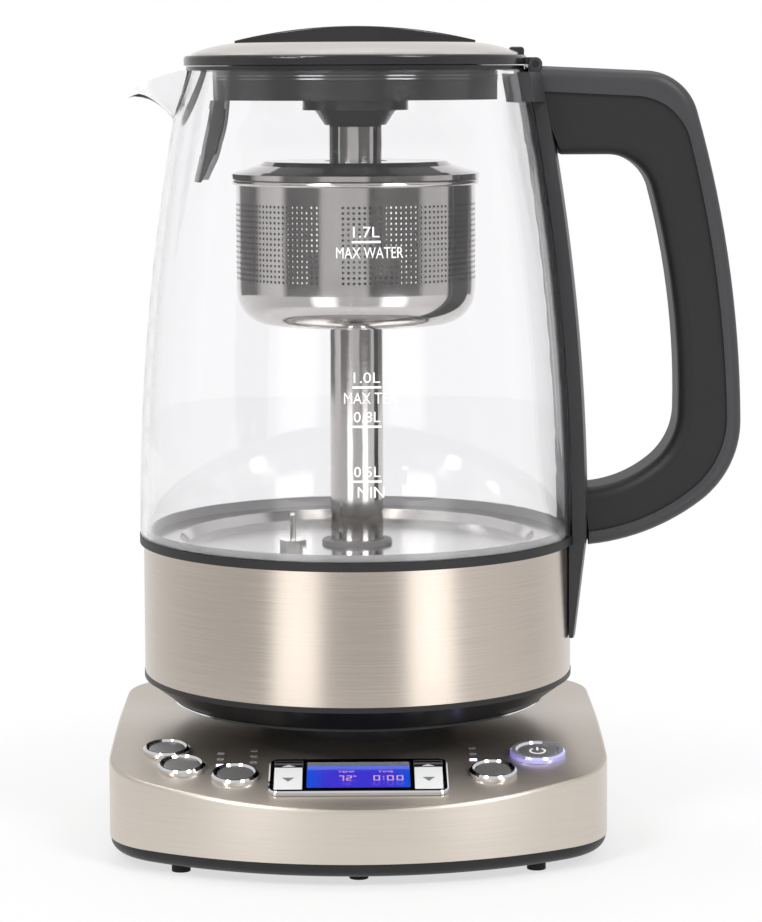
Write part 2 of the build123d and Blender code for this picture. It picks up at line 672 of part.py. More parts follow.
def make_pedestal():
    """Round seat for the jug, over the shell, with a spigot into the tower."""
    bore = PLUG_RADIUS + ASSEMBLY_GAP
    spigot_foot = PLATE_UNDERSIDE_Z - TOWER_WALL
    seat = tube(PEDESTAL_RADIUS, bore, PANEL_Z - PEDESTAL_RISE, SEAT_Z)
    crest = seat.edges().filter_by(GeomType.CIRCLE).group_by(Axis.Z)[-1].sort_by(SortBy.RADIUS)[-1]
    seat = fillet(crest, PEDESTAL_EDGE) - base_block(0.0, SKIRT_FOOT_Z)
    seat += tube(TOWER_RADIUS - TOWER_WALL - ASSEMBLY_GAP, bore, spigot_foot, PANEL_Z)
    seat -= disc(PLUG_FLANGE_RADIUS + ASSEMBLY_GAP, spigot_foot, PANEL_Z)
    for x, y in tower_screw_places():
        seat -= disc(SCREW_SHANK_RADIUS, spigot_foot, PANEL_Z + SCREW_BITE, x, y)
    return seat


def make_base_plug():
    """Central plug of the cordless connector, with room for its contacts."""
    plug = disc(PLUG_RADIUS, PANEL_Z - PLUG_FLANGE, PLUG_TOP_Z)
    plug = fillet(plug.edges().group_by(Axis.Z)[-1], PLUG_EDGE)
    plug += disc(PLUG_FLANGE_RADIUS, PANEL_Z - PLUG_FLANGE, PANEL_Z)
    plug -= contact_ring(SLIDE_GAP)
    return plug - disc(CONTACT_PIN_RADIUS, PANEL_Z - PLUG_FLANGE, PLUG_TOP_Z)


def contact_ring(gap):
    """Ring contact let into the plug's top, grown by gap on both sides."""
    inner = CONTACT_RING_RADIUS - CONTACT_RING_WALL - gap
    return tube(CONTACT_RING_RADIUS + gap, inner, PLUG_TOP_Z - CONTACT_RING_HEIGHT, PLUG_TOP_Z)


def make_contacts():
    """Brass pin and ring of the plug, each its own solid."""
    pin = disc(CONTACT_PIN_RADIUS, PANEL_Z - PLUG_FLANGE - CONTACT_PIN_TAIL, CONTACT_PIN_TOP_Z)
    pin = chamfer(pin.edges().group_by(Axis.Z)[-1], CONTACT_PIN_CHAMFER)
    return Compound([pin, contact_ring(0.0)])


def make_base_screws():
    """Screws that draw the pedestal, shell and tray together."""
    seat = screw_seat_z()
    return Compound([
        disc(SCREW_HEAD_RADIUS, seat - SCREW_HEAD_HEIGHT, seat, x, y)
        + disc(SCREW_SHANK_RADIUS, seat, PANEL_Z + SCREW_BITE, x, y)
        for x, y in tower_screw_places()
    ])


def block(size, x, y, low):
    """Rectangular block on a plane, centred at x, y."""
    width, length, height = size
    return Pos(x, y, low) * extrude(Rectangle(width, length), height)


def make_power_board():
    """Rear circuit board on stand-offs from the tray floor."""
    size = (POWER_BOARD_WIDTH, POWER_BOARD_LENGTH, BOARD_THICKNESS)
    board = block(size, 0, POWER_BOARD_Y, POWER_BOARD_Z)
    across = POWER_BOARD_WIDTH / 2 - STANDOFF_INSET
    along = POWER_BOARD_LENGTH / 2 - STANDOFF_INSET
    for x in (-across, across):
        for y in (POWER_BOARD_Y - along, POWER_BOARD_Y + along):
            board += disc(STANDOFF_RADIUS, TRAY_FLOOR_Z, POWER_BOARD_Z, x, y)
    return board


def make_power_components():
    """Relay and small mains transformer on the rear board."""
    low = POWER_BOARD_Z + BOARD_THICKNESS
    relay = block(RELAY_SIZE, RELAY_X, POWER_BOARD_Y, low)
    core = block(TRANSFORMER_CORE, TRANSFORMER_X, POWER_BOARD_Y, low)
    winding_low = low + (TRANSFORMER_CORE[2] - TRANSFORMER_WINDING[2]) / 2
    winding = block(TRANSFORMER_WINDING, TRANSFORMER_X, POWER_BOARD_Y, winding_low)
    return Compound([relay, core + winding])


# ---------------------------------------------------------------- control pieces
def indicator_places():
    """Panel places of the small lamps: three in each column."""
    for x, setback in INDICATOR_COLUMNS:
        for index in range(INDICATOR_COUNT):
            yield x, setback - BASE_HALF_DEPTH - index * INDICATOR_PITCH


def button_radius(name):
    """Radius of a button's cap."""
    return POWER_BUTTON_RADIUS if name == "power_button" else BUTTON_RADIUS


def board_depth(y):
    """Distance from the panel to the control board's top, along the panel's normal at y."""
    tilt = math.radians(panel_tilt(DISPLAY_Y))
    own_tilt = math.radians(panel_tilt(y))
    board_z = panel_z(DISPLAY_Y) + math.tan(tilt) * (y - DISPLAY_Y) - BOARD_DEPTH / math.cos(tilt)
    rise = panel_z(y) - board_z
    return rise * math.cos(tilt) / math.cos(tilt - own_tilt)


def make_ring(name):
    """Raised clear ring round one button, with a spigot through the panel."""
    x, y = BUTTON_PLACES[name]
    bore = button_radius(name) + SLIDE_GAP
    outer = POWER_RING_RADIUS if name == "power_button" else RING_RADIUS
    rim = tube(outer, bore, 0, RING_RISE)
    rim = chamfer(rim.edges().group_by(Axis.Z)[-1], RING_CHAMFER)
    return on_panel(x, y) * (rim + tube(bore + RING_SPIGOT_WALL, bore, -BUTTON_BODY_DEPTH, 0))


def make_button(name):
    """Cap, retaining flange and stem of one button."""
    x, y = BUTTON_PLACES[name]
    radius = button_radius(name)
    cap = disc(radius, -BUTTON_BODY_DEPTH - ASSEMBLY_GAP, BUTTON_RISE)
    cap = fillet(cap.edges().group_by(Axis.Z)[-1], BUTTON_EDGE)
    flange_top = -BUTTON_BODY_DEPTH - ASSEMBLY_GAP
    cap += disc(radius + BUTTON_FLANGE_LIP, flange_top - BUTTON_FLANGE, flange_top)
    stem_end = SWITCH_HEIGHT + BUTTON_TRAVEL + SWITCH_PLAY - board_depth(y)
    cap += disc(BUTTON_STEM_RADIUS, stem_end, flange_top - BUTTON_FLANGE)
    return on_panel(x, y) * cap


def make_indicators():
    """Small lamp lenses let into the panel."""
    lens = extrude(Rectangle(INDICATOR_WIDTH, INDICATOR_LENGTH), INDICATOR_DEPTH + INDICATOR_RISE)
    return Compound([on_panel(x, y) * Pos(0, 0, -INDICATOR_DEPTH) * lens for x, y in indicator_places()])


def make_board():
    """Control board under the panel."""
    return board_slab(BOARD_TOP, BOARD_THICKNESS, BOARD_INSET)


def rocker_places():
    """The two rocker keys, by name and place across the display."""
    return {"temperature_rocker": -KEY_CENTRE_X, "timer_rocker": KEY_CENTRE_X}


def switch_body(height):
    """Key switch of a given height with its plunger."""
    return block((SWITCH_SIDE, SWITCH_SIDE, height - PLUNGER_RISE), 0, 0, 0) + disc(PLUNGER_RADIUS, 0, height)


def make_key_switches():
    """Switches on the board: one under each button, two under each rocker."""
    switches = []
    for x, y in BUTTON_PLACES.values():
        switches.append(on_panel(x, y) * Pos(0, 0, -board_depth(y)) * switch_body(SWITCH_HEIGHT))
    rocker_switch = switch_body(BOARD_DEPTH - KEY_UNDERSIDE - KEY_SWITCH_REACH)
    end = (KEY_LENGTH - SWITCH_SIDE) / 2
    for x in rocker_places().values():
        for y in (-end, end):
            switches.append(DISPLAY * Pos(x, y, BOARD_TOP) * rocker_switch)
    return [switch - make_board() for switch in switches]


def make_bezel():
    """Bright frame of the display with a window for the screen and one for each key."""
    edge_inset = BEZEL_LIP + ASSEMBLY_GAP
    rim = panel_box(BEZEL_WIDTH, BEZEL_LENGTH, 0, BEZEL_RISE, corner=BEZEL_CORNER)
    bezel = chamfer([edge for edge in rim.edges() if is_top_edge(edge)], BEZEL_CHAMFER)
    bezel += panel_box(BEZEL_WIDTH - 2 * edge_inset, BEZEL_LENGTH - 2 * edge_inset, -BEZEL_DEPTH, 0,
                       corner=BEZEL_CORNER - edge_inset)
    bezel -= panel_box(WINDOW_WIDTH, WINDOW_LENGTH, -CLEAR / 4, CLEAR / 4, corner=WINDOW_CORNER)
    for x in rocker_places().values():
        bezel -= panel_box(KEY_WIDTH + 2 * KEY_SIDE_GAP, KEY_LENGTH + 2 * KEY_END_GAP,
                           -CLEAR / 4, CLEAR / 4, x=x)
    return bezel


def is_top_edge(edge):
    """True for an edge that lies in the top face of the bezel."""
    normal = (DISPLAY * Pos(0, 0, 1)).position - DISPLAY.position
    heights = [(edge.position_at(step) - DISPLAY.position).dot(normal) for step in (0.0, 0.5, 1.0)]
    return all(abs(height - BEZEL_RISE) < TOUCH for height in heights)


def make_lens():
    """Clear window over the screen."""
    width = WINDOW_WIDTH - 2 * ASSEMBLY_GAP
    length = WINDOW_LENGTH - 2 * ASSEMBLY_GAP
    return panel_box(width, length, -BEZEL_DEPTH, LENS_RISE, corner=WINDOW_CORNER - ASSEMBLY_GAP)


def make_lcd():
    """Liquid crystal panel under the window."""
    return panel_box(WINDOW_WIDTH + 2 * LCD_MARGIN, WINDOW_LENGTH + 2 * LCD_MARGIN, LCD_FOOT, LCD_TOP)


def make_carrier():
    """Frame on the board that holds the screen and the rocker pins."""
    width = WINDOW_WIDTH + 2 * LCD_MARGIN
    length = WINDOW_LENGTH + 2 * LCD_MARGIN
    carrier = panel_box(width, length, BOARD_TOP, LCD_FOOT)
    carrier -= panel_box(width - 2 * CARRIER_WALL, length - 2 * CARRIER_WALL, -CLEAR, CLEAR)
    ear_x = KEY_CENTRE_X + KEY_WIDTH / 2 + KEY_SIDE_GAP + ROCKER_EAR_WALL / 2
    ear_top = ROCKER_PIN_RADIUS + ROCKER_EAR_WALL - ROCKER_PIN_DEPTH
    for x in (-ear_x, ear_x):
        carrier += panel_box(ROCKER_EAR_WALL, ROCKER_EAR_LENGTH, BOARD_TOP, ear_top, x=x)
        tongue_x = math.copysign((ear_x + width / 2) / 2, x)
        carrier += panel_box(ear_x - width / 2, CARRIER_TONGUE_LENGTH, BOARD_TOP,
                             BOARD_TOP + CARRIER_TONGUE_THICKNESS, x=tongue_x)
    carrier -= rocker_pin_bar(ROCKER_PIN_RADIUS, 2 * (ear_x + CARRIER_WALL), 0.0)
    return carrier


def rocker_pin_bar(radius, length, x):
    """Bar along X on the rockers' axis."""
    return DISPLAY * Location((x, 0, -ROCKER_PIN_DEPTH), (0, 90, 0)) * Cylinder(radius, length)


def make_rocker_pins():
    """One pin through each rocker, held in the carrier."""
    inner = WINDOW_WIDTH / 2 + LCD_MARGIN - CARRIER_WALL
    outer = KEY_CENTRE_X + KEY_WIDTH / 2 + KEY_SIDE_GAP + ROCKER_EAR_WALL
    middle = (inner + outer) / 2
    return Compound([rocker_pin_bar(ROCKER_PIN_RADIUS, outer - inner, x) for x in (-middle, middle)])


def make_rocker(x):
    """Key with a ridge across it and a web round its pin."""
    half = KEY_LENGTH / 2
    side = [(-half, -KEY_UNDERSIDE), (-half, KEY_END_RISE), (KEY_RIDGE_Y, KEY_RIDGE_RISE),
            (half, KEY_END_RISE), (half, -KEY_UNDERSIDE)]
    outline = make_face(Polyline([(0, y, z) for y, z in side], close=True))
    key = extrude(outline, KEY_WIDTH / 2, dir=(1, 0, 0), both=True)
    web_foot = ROCKER_PIN_DEPTH + ROCKER_PIN_RADIUS + ROCKER_WEB_SKIN
    web_size = (KEY_WIDTH - ROCKER_WEB_SETBACK, ROCKER_WEB_LENGTH, web_foot - KEY_UNDERSIDE)
    key = DISPLAY * Pos(x, 0, 0) * (key + block(web_size, 0, 0, -web_foot))
    return key - rocker_pin_bar(ROCKER_PIN_RADIUS + RUN_GAP, 2 * KEY_WIDTH, x)


# ---------------------------------------------------------------- jug shell pieces
def glass_radius(z, inset=0.0):
    """Radius of the jug's side at height z, drawn in by inset."""
    return GLASS_ARC_CENTRE + math.sqrt((GLASS_ARC_RADIUS - inset) ** 2 - (z - GLASS_FOOT_Z) ** 2)


def glass_side(low, high, inset=0.0):
    """Arc of the jug's side between two heights."""
    middle = (low + high) / 2
    return ThreePointArc(*[(glass_radius(z, inset), 0, z) for z in (low, middle, high)])


def glass_solid(low, high, inset=0.0):
    """Full body of the jug's side between two heights."""
    side = glass_side(low, high, inset)
    rest = Polyline(side @ 1, (0, 0, high), (0, 0, low), side @ 0)
    return turned([side, rest])


def spout_section(reach, foot, half_width, top):
    """Round-bottomed cross section of the spout at a distance from the axis."""
    pull = top - (top - foot) * 4 / 3
    side = SPOUT_FULLNESS * half_width
    ends = [(-reach, -half_width, top), (-reach, half_width, top)]
    trough = Bezier(ends[0], (-reach, -side, pull), (-reach, side, pull), ends[1])
    return make_face([trough, Line(ends[1], ends[0])])


def spout_solid(wall, top):
    """Trough of the spout from inside the jug to the tip, drawn in by wall."""
    sections = []
    for reach, depth, width, thickness in SPOUT_STATIONS:
        drawn = wall * thickness
        full = SPOUT_HALF_WIDTH * width
        half_width = max(full - drawn, full / 2)
        foot = GLASS_RIM_Z - SPOUT_DEPTH * depth + drawn
        distance = GLASS_RIM_RADIUS + SPOUT_REACH * reach + SPOUT_STATION_SHIFT * wall
        sections.append(spout_section(distance, foot, half_width, top))
    return loft(sections)


def lip_side():
    """Side view under the spout's lip, which falls from the rim to the tip in one arc."""
    run, fall = SPOUT_ARCH
    rim = (-GLASS_RIM_RADIUS, 0, GLASS_RIM_Z)
    middle = (-GLASS_RIM_RADIUS - run * SPOUT_REACH, 0, GLASS_RIM_Z - fall * SPOUT_LIP_FALL)
    tip = (-GLASS_RIM_RADIUS - SPOUT_REACH - OVERCUT, 0, GLASS_RIM_Z - SPOUT_LIP_FALL)
    inside = -GLASS_RIM_RADIUS + SPOUT_ROOT_DEPTH
    foot = GLASS_RIM_Z - 2 * SPOUT_DEPTH
    rest = Polyline(tip, (tip[0], 0, foot), (inside, 0, foot), (inside, 0, GLASS_RIM_Z), rim)
    return make_face([ThreePointArc(rim, middle, tip), rest])


def make_glass():
    """Glass jug with its drawn spout and a lip that falls to the tip."""
    outer = glass_solid(GLASS_FOOT_Z, GLASS_RIM_Z)
    inner = glass_solid(GLASS_FOOT_Z - OVERCUT, GLASS_RIM_Z + OVERCUT, GLASS_WALL)
    top = GLASS_RIM_Z + SPOUT_TRIM
    trough = spout_solid(0.0, top) & extrude(lip_side(), CLEAR, dir=(0, 1, 0), both=True)
    return outer + trough - inner - spout_solid(SPOUT_WALL, top + OVERCUT)


def make_lower_seal():
    """Black seal between glass and band, with a lip inside the glass."""
    foot, seat = SEAL_FOOT_Z, GLASS_FOOT_Z
    outline = [(SEAL_BORE_RADIUS, foot), (SEAL_RADIUS, foot), (SEAL_RADIUS, seat),
               (SEAL_BORE_RADIUS + SEAL_LIP, seat), (SEAL_BORE_RADIUS + SEAL_LIP, seat + SEAL_LIP_HEIGHT),
               (SEAL_BORE_RADIUS, seat + SEAL_LIP_HEIGHT)]
    return turned(profile(outline))


def make_band():
    """Steel band round the jug's foot with an inward flange under the seal."""
    bore = BAND_RADIUS - BAND_WALL
    outline = [(bore, TRIM_TOP_Z), (BAND_RADIUS, TRIM_TOP_Z), (BAND_RADIUS, SEAL_FOOT_Z),
               (BAND_RADIUS - BAND_FLANGE, SEAL_FOOT_Z), (BAND_RADIUS - BAND_FLANGE, SEAL_FOOT_Z - BAND_WALL),
               (bore, SEAL_FOOT_Z - BAND_WALL)]
    return turned(profile(outline))


def make_trim():
    """Thin dark ring under the band."""
    return tube(BAND_RADIUS + TRIM_PROUD, BAND_RADIUS - TRIM_WIDTH, COVER_TOP_Z, TRIM_TOP_Z)


def make_cover():
    """Black bottom cover: a shallow cone with a lip round its flat seat, motor posts and the socket's hole."""
    hole = SOCKET_RADIUS + ASSEMBLY_GAP
    floor = SEAT_Z + COVER_WALL
    outline = [(hole, SEAT_Z), (COVER_FOOT_RADIUS, SEAT_Z), (COVER_FOOT_RADIUS, SEAT_Z + COVER_LIP),
               (BAND_RADIUS, COVER_TOP_Z),
               (BAND_RADIUS - COVER_RIM_WIDTH, COVER_TOP_Z), (COVER_FOOT_RADIUS - COVER_WALL, floor),
               (hole, floor)]
    cover = turned(profile(outline))
    for x, y in cover_post_places():
        cover += disc(COVER_POST_RADIUS, floor, HEAT_PLATE_FOOT_Z, x, y)
        cover -= disc(SCREW_SHANK_RADIUS, SEAT_Z, HEAT_PLATE_FOOT_Z, x, y)
        cover -= disc(SCREW_HEAD_RADIUS + ASSEMBLY_GAP, SEAT_Z, jug_screw_seat(), x, y)
    for x, y in motor_post_places():
        cover += disc(MOTOR_POST_RADIUS, floor, MOTOR_TOP_Z, x, y)
    return cover


def cover_post_places():
    """Places of the posts that hold the cover to the heat plate."""
    return list(around(COVER_POST_COUNT, HEAT_PLATE_RADIUS - COVER_POST_INSET, 90.0))


def motor_post_places():
    """Posts that carry the motor's lugs."""
    return list(around(MOTOR_LUG_COUNT, MOTOR_LUG_CIRCLE, MOTOR_LUG_TURN))


def jug_screw_seat():
    """Height where the jug screws' heads bear."""
    return HEAT_PLATE_FOOT_Z - COVER_POST_CAP


def make_jug_screws():
    """Screws up through the cover's posts into the heat plate."""
    seat = jug_screw_seat()
    return [
        disc(SCREW_HEAD_RADIUS, seat - SCREW_HEAD_HEIGHT, seat, x, y)
        + disc(SCREW_SHANK_RADIUS, seat, HEAT_PLATE_FOOT_Z + SCREW_BITE, x, y)
        for x, y in cover_post_places()
    ]


def make_pan():
    """Steel floor of the jug: dished centre and a raised bright flange."""
    floor, flange, wall = PAN_FLOOR_Z, PAN_FLANGE_Z, PAN_WALL
    hole = COLUMN_RADIUS + ASSEMBLY_GAP
    rise = PAN_DISH_RADIUS + PAN_STEP_WIDTH
    outline = [(hole, floor), (PAN_DISH_RADIUS, floor), (rise, flange), (PAN_RADIUS, flange),
               (PAN_RADIUS, flange - wall), (rise + wall / 2, flange - wall),
               (PAN_DISH_RADIUS + wall / 2, floor - wall), (hole, floor - wall)]
    pan = turned(profile(outline))
    return pan - disc(PROBE_RADIUS + PROBE_HOLE_GAP, floor - 2 * wall, floor + wall, PROBE_X, PROBE_Y)


def make_heat_plate():
    """Aluminium plate pressed to the pan's underside."""
    low, high = HEAT_PLATE_FOOT_Z, PAN_FLOOR_Z - PAN_WALL
    plate = tube(HEAT_PLATE_RADIUS, COLUMN_NUT_FLATS / math.sqrt(3) + COLUMN_NUT_GAP, low, high)
    for x, y in cover_post_places():
        plate -= disc(SCREW_SHANK_RADIUS, low, low + SCREW_BITE, x, y)
    return plate - disc(PROBE_RADIUS + PROBE_HOLE_GAP, low, high, PROBE_X, PROBE_Y)


def make_element():
    """Tubular heating element under the plate, open at the back, with its two cold ends."""
    centre_z = HEAT_PLATE_FOOT_Z - ELEMENT_TUBE_RADIUS
    section = Location((ELEMENT_RADIUS, 0, centre_z), (90, 0, 0)) * Circle(ELEMENT_TUBE_RADIUS)
    sweep = 360.0 - ELEMENT_GAP_DEG
    element = revolve(section, Axis.Z, revolution_arc=sweep)
    for turn in (ELEMENT_END_DEG, sweep - ELEMENT_END_DEG):
        cold_end = disc(COLD_END_RADIUS, centre_z - COLD_END_LENGTH, centre_z, ELEMENT_RADIUS)
        element += Rot(0, 0, turn) * cold_end
    return Rot(0, 0, 90.0 + ELEMENT_GAP_DEG / 2) * element


def make_probe():
    """Temperature probe: a rod through the pan with its gland nut."""
    rod = disc(PROBE_RADIUS, HEAT_PLATE_FOOT_Z - PROBE_TAIL, PAN_FLOOR_Z + PROBE_RISE, PROBE_X, PROBE_Y)
    rod = fillet(rod.edges().group_by(Axis.Z)[-1], PROBE_TIP_EDGE)
    return rod + hexagon(PROBE_NUT_FLATS, PAN_FLOOR_Z, PAN_FLOOR_Z + PROBE_NUT_HEIGHT, PROBE_X, PROBE_Y)


def make_socket():
    """Jug side of the cordless connector."""
    bore = PLUG_RADIUS + SOCKET_BORE_GAP
    socket = disc(SOCKET_RADIUS, SEAT_Z + ASSEMBLY_GAP, SOCKET_TOP_Z)
    socket -= disc(bore, SEAT_Z, SOCKET_CEILING_Z)
    return socket - disc(CONTACT_PIN_RADIUS + SEAT_GAP, SEAT_Z, SOCKET_TOP_Z + OVERCUT)


# ---------------------------------------------------------------- column and drive pieces
def make_column():
    """Sealed steel column with a domed crown, open below for the drive."""
    crown = COLUMN_SHOULDER_Z + COLUMN_CROWN_RISE
    ceiling = crown - COLUMN_WALL
    outer = [(0, COLUMN_FOOT_Z), (COLUMN_RADIUS, COLUMN_FOOT_Z), (COLUMN_RADIUS, COLUMN_SHOULDER_Z),
             (COLUMN_CROWN_RADIUS, crown), (0, crown)]
    inner = [(0, COLUMN_FOOT_Z - OVERCUT), (BORE_RADIUS, COLUMN_FOOT_Z - OVERCUT),
             (BORE_RADIUS, COLUMN_SHOULDER_Z - COLUMN_CROWN_DRAW),
             (COLUMN_CROWN_RADIUS - COLUMN_CROWN_DRAW, ceiling), (0, ceiling)]
    return turned(profile(outer)) - turned(profile(inner))


def make_column_seal():
    """Clear silicone ring round the column's foot."""
    ring = tube(COLUMN_SEAL_RADIUS, COLUMN_RADIUS, PAN_FLOOR_Z, PAN_FLOOR_Z + COLUMN_SEAL_HEIGHT)
    return fillet(ring.edges().group_by(Axis.Z)[-1].sort_by(SortBy.RADIUS)[-1], COLUMN_SEAL_EDGE)


def make_column_nut():
    """Nut that draws the column down on the pan."""
    high = PAN_FLOOR_Z - PAN_WALL
    nut = hexagon(COLUMN_NUT_FLATS, high - COLUMN_NUT_HEIGHT, high)
    return nut - disc(COLUMN_RADIUS, high - COLUMN_NUT_HEIGHT, high)


def make_bearing(low):
    """Plain bush in the column that carries the lead screw."""
    return tube(BORE_RADIUS, SCREW_RADIUS + RUN_GAP, low, low + BEARING_HEIGHT)


def make_motor():
    """Gear motor on the axis, hung from three posts by the lugs of its top plate."""
    can = disc(MOTOR_RADIUS, MOTOR_FOOT_Z, MOTOR_TOP_Z)
    motor = chamfer(can.edges().group_by(Axis.Z)[0], MOTOR_CHAMFER)
    motor += disc(MOTOR_SHAFT_RADIUS, MOTOR_TOP_Z, MOTOR_TOP_Z + MOTOR_SHAFT_LENGTH)
    plate = disc(MOTOR_LUG_CIRCLE - MOTOR_LUG_RADIUS, MOTOR_TOP_Z, MOTOR_TOP_Z + MOTOR_LUG_WALL)
    inner_places = around(MOTOR_LUG_COUNT, MOTOR_LUG_ROOT, MOTOR_LUG_TURN)
    for x, y in [*motor_post_places(), *inner_places]:
        plate += disc(MOTOR_LUG_RADIUS, MOTOR_TOP_Z, MOTOR_TOP_Z + MOTOR_LUG_WALL, x, y)
    plate -= disc(COUPLING_RADIUS + SEAT_GAP, MOTOR_TOP_Z, MOTOR_TOP_Z + MOTOR_LUG_WALL)
    return motor + plate


def make_lead_screw():
    """Lead screw with a bored coupling over the motor's shaft."""
    coupling_top = COLUMN_FOOT_Z - SEAT_GAP
    screw = disc(SCREW_RADIUS, coupling_top, SCREW_TOP_Z)
    screw = chamfer(screw.edges().group_by(Axis.Z)[-1], SCREW_CHAMFER)
    screw += disc(COUPLING_RADIUS, MOTOR_TOP_Z + SEAT_GAP, coupling_top)
    shaft_end = MOTOR_TOP_Z + MOTOR_SHAFT_LENGTH + SEAT_GAP
    return screw - disc(MOTOR_SHAFT_RADIUS + RUN_GAP, MOTOR_TOP_Z, shaft_end)


def carriage_foot():
    """Height of the carriage's underside with the basket raised."""
    return BASKET_FLOOR_Z + BASKET_WALL + (MAGNET_CASE_HEIGHT - CARRIAGE_HEIGHT) / 2


def make_carriage():
    """Magnet carriage that the screw drives up and down inside the column."""
    low = carriage_foot()
    body = tube(BORE_RADIUS - CARRIAGE_GAP, SCREW_RADIUS + RUN_GAP, low, low + CARRIAGE_HEIGHT)
    groove = tube(BORE_RADIUS, CARRIAGE_CORE_RADIUS, low + CARRIAGE_RIM, low + CARRIAGE_HEIGHT - CARRIAGE_RIM)
    return body - groove


# ---------------------------------------------------------------- tea basket pieces
def basket_shape(inset):
    """Body of revolution of the basket's wall and floor, drawn in by inset."""
    radius = BASKET_RADIUS - inset
    corner = BASKET_CORNER_RADIUS - inset
    floor = BASKET_FLOOR_Z + inset
    top = BASKET_RIM_Z + (OVERCUT if inset else 0.0)
    knee = math.sqrt(0.5) * corner
    edges = [
        Line((0, 0, floor), (radius - corner, 0, floor)),
        ThreePointArc((radius - corner, 0, floor), (radius - corner + knee, 0, floor + corner - knee),
                      (radius, 0, floor + corner)),
        Polyline((radius, 0, floor + corner), (radius, 0, top), (0, 0, top), (0, 0, floor)),
    ]
    return turned(edges)


def make_basket():
    """Perforated steel basket with a rolled bead at its rim."""
    basket = basket_shape(0.0) - basket_shape(BASKET_WALL)
    bead = tube(BASKET_BEAD_RADIUS, BASKET_BORE_RADIUS, BASKET_RIM_Z - BASKET_BEAD_HEIGHT, BASKET_RIM_Z)
    basket += fillet(bead.edges().filter_by(GeomType.CIRCLE).sort_by(SortBy.RADIUS)[-2:], BASKET_BEAD_EDGE)
    basket -= disc(SLEEVE_RADIUS, BASKET_FLOOR_Z - OVERCUT, BASKET_FLOOR_Z + BASKET_WALL + OVERCUT)
    return basket - basket_drills()


def basket_drills():
    """Cutters for the holes of the basket's wall, in rows round it."""
    start = BASKET_BORE_RADIUS - OVERCUT
    drill = Location((start, 0, 0), (0, 90, 0)) * disc(BASKET_HOLE_RADIUS, 0, BASKET_WALL + 2 * OVERCUT)
    row_pitch = (BASKET_HOLES_HIGH_Z - BASKET_HOLES_LOW_Z) / (BASKET_HOLE_ROWS - 1)
    turn = 360.0 / BASKET_HOLE_COLUMNS
    return [
        Location((0, 0, BASKET_HOLES_LOW_Z + row * row_pitch), (0, 0, turn * (column + 0.5))) * drill
        for row in range(BASKET_HOLE_ROWS)
        for column in range(BASKET_HOLE_COLUMNS)
    ]


def make_sleeve():
    """Tube of the basket that slides on the column."""
    return tube(SLEEVE_RADIUS, SLEEVE_BORE_RADIUS, BASKET_FLOOR_Z, BASKET_RIM_Z)


def make_magnet_case():
    """Sealed ring case of the basket's magnets, on the floor round the sleeve."""
    low = BASKET_FLOOR_Z + BASKET_WALL
    case = tube(MAGNET_CASE_RADIUS, SLEEVE_RADIUS, low, low + MAGNET_CASE_HEIGHT)
    case = fillet(case.edges().group_by(Axis.Z)[-1].sort_by(SortBy.RADIUS)[-1], MAGNET_CASE_EDGE)
    return case - magnet_ring()


def magnet_ring():
    """Ring magnet inside the case."""
    low = BASKET_FLOOR_Z + BASKET_WALL + MAGNET_CASE_WALL
    high = low + MAGNET_CASE_HEIGHT - 2 * MAGNET_CASE_WALL
    return tube(MAGNET_CASE_RADIUS - MAGNET_CASE_WALL, SLEEVE_RADIUS + MAGNET_CASE_WALL, low, high)


def make_basket_lid():
    """Stepped steel lid of the basket with a hole for the column."""
    wall = BASKET_LID_WALL
    low = BASKET_RIM_Z + SLIDE_GAP
    rim_top = low + BASKET_LID_RIM
    crown = rim_top + BASKET_LID_CROWN - BASKET_LID_STEP
    top = crown + BASKET_LID_STEP
    hole = SLEEVE_RADIUS + SEAT_GAP
    step = BASKET_LID_STEP_RADIUS
    step_top = step - BASKET_LID_STEP_RUN
    seat = BASKET_BORE_RADIUS - BASKET_LID_SEAT
    outline = [(hole, rim_top - wall), (hole, top), (step_top, top), (step, crown),
               (BASKET_LID_RADIUS - BASKET_LID_SHOULDER, rim_top),
               (BASKET_LID_RADIUS, rim_top - BASKET_LID_EDGE), (BASKET_LID_RADIUS, low), (seat, low),
               (seat, rim_top - wall), (step, crown - wall), (step_top, top - wall),
               (hole + wall, top - wall), (hole + wall, rim_top - wall)]
    return turned(profile(outline))


# ---------------------------------------------------------------- mouth and lid pieces
def make_collar():
    """Collar in the jug's mouth, hung on the rim by its flange."""
    flange_top = GLASS_RIM_Z + COLLAR_FLANGE
    outline = [(COLLAR_BORE_RADIUS, COLLAR_FOOT_Z), (COLLAR_RADIUS, COLLAR_FOOT_Z),
               (COLLAR_RADIUS, GLASS_RIM_Z), (COLLAR_FLANGE_RADIUS, GLASS_RIM_Z),
               (COLLAR_FLANGE_RADIUS, flange_top), (COLLAR_BORE_RADIUS, flange_top)]
    return turned(profile(outline))


def filter_outer(inset):
    """Outer side of the spout filter's section, drawn in by inset."""
    return ThreePointArc((FILTER_OUTER_RADIUS - inset, 0, COLLAR_FOOT_Z),
                         (FILTER_OUTER_WAIST - inset, 0, COLLAR_FOOT_Z - FILTER_WAIST_DROP),
                         (FILTER_TIP_RADIUS - inset, 0, FILTER_TIP_Z))


def filter_half_angle(frame):
    """Half angle of the filter left inside side walls of the given width."""
    return FILTER_HALF_ANGLE - math.degrees(frame / COLLAR_RADIUS)


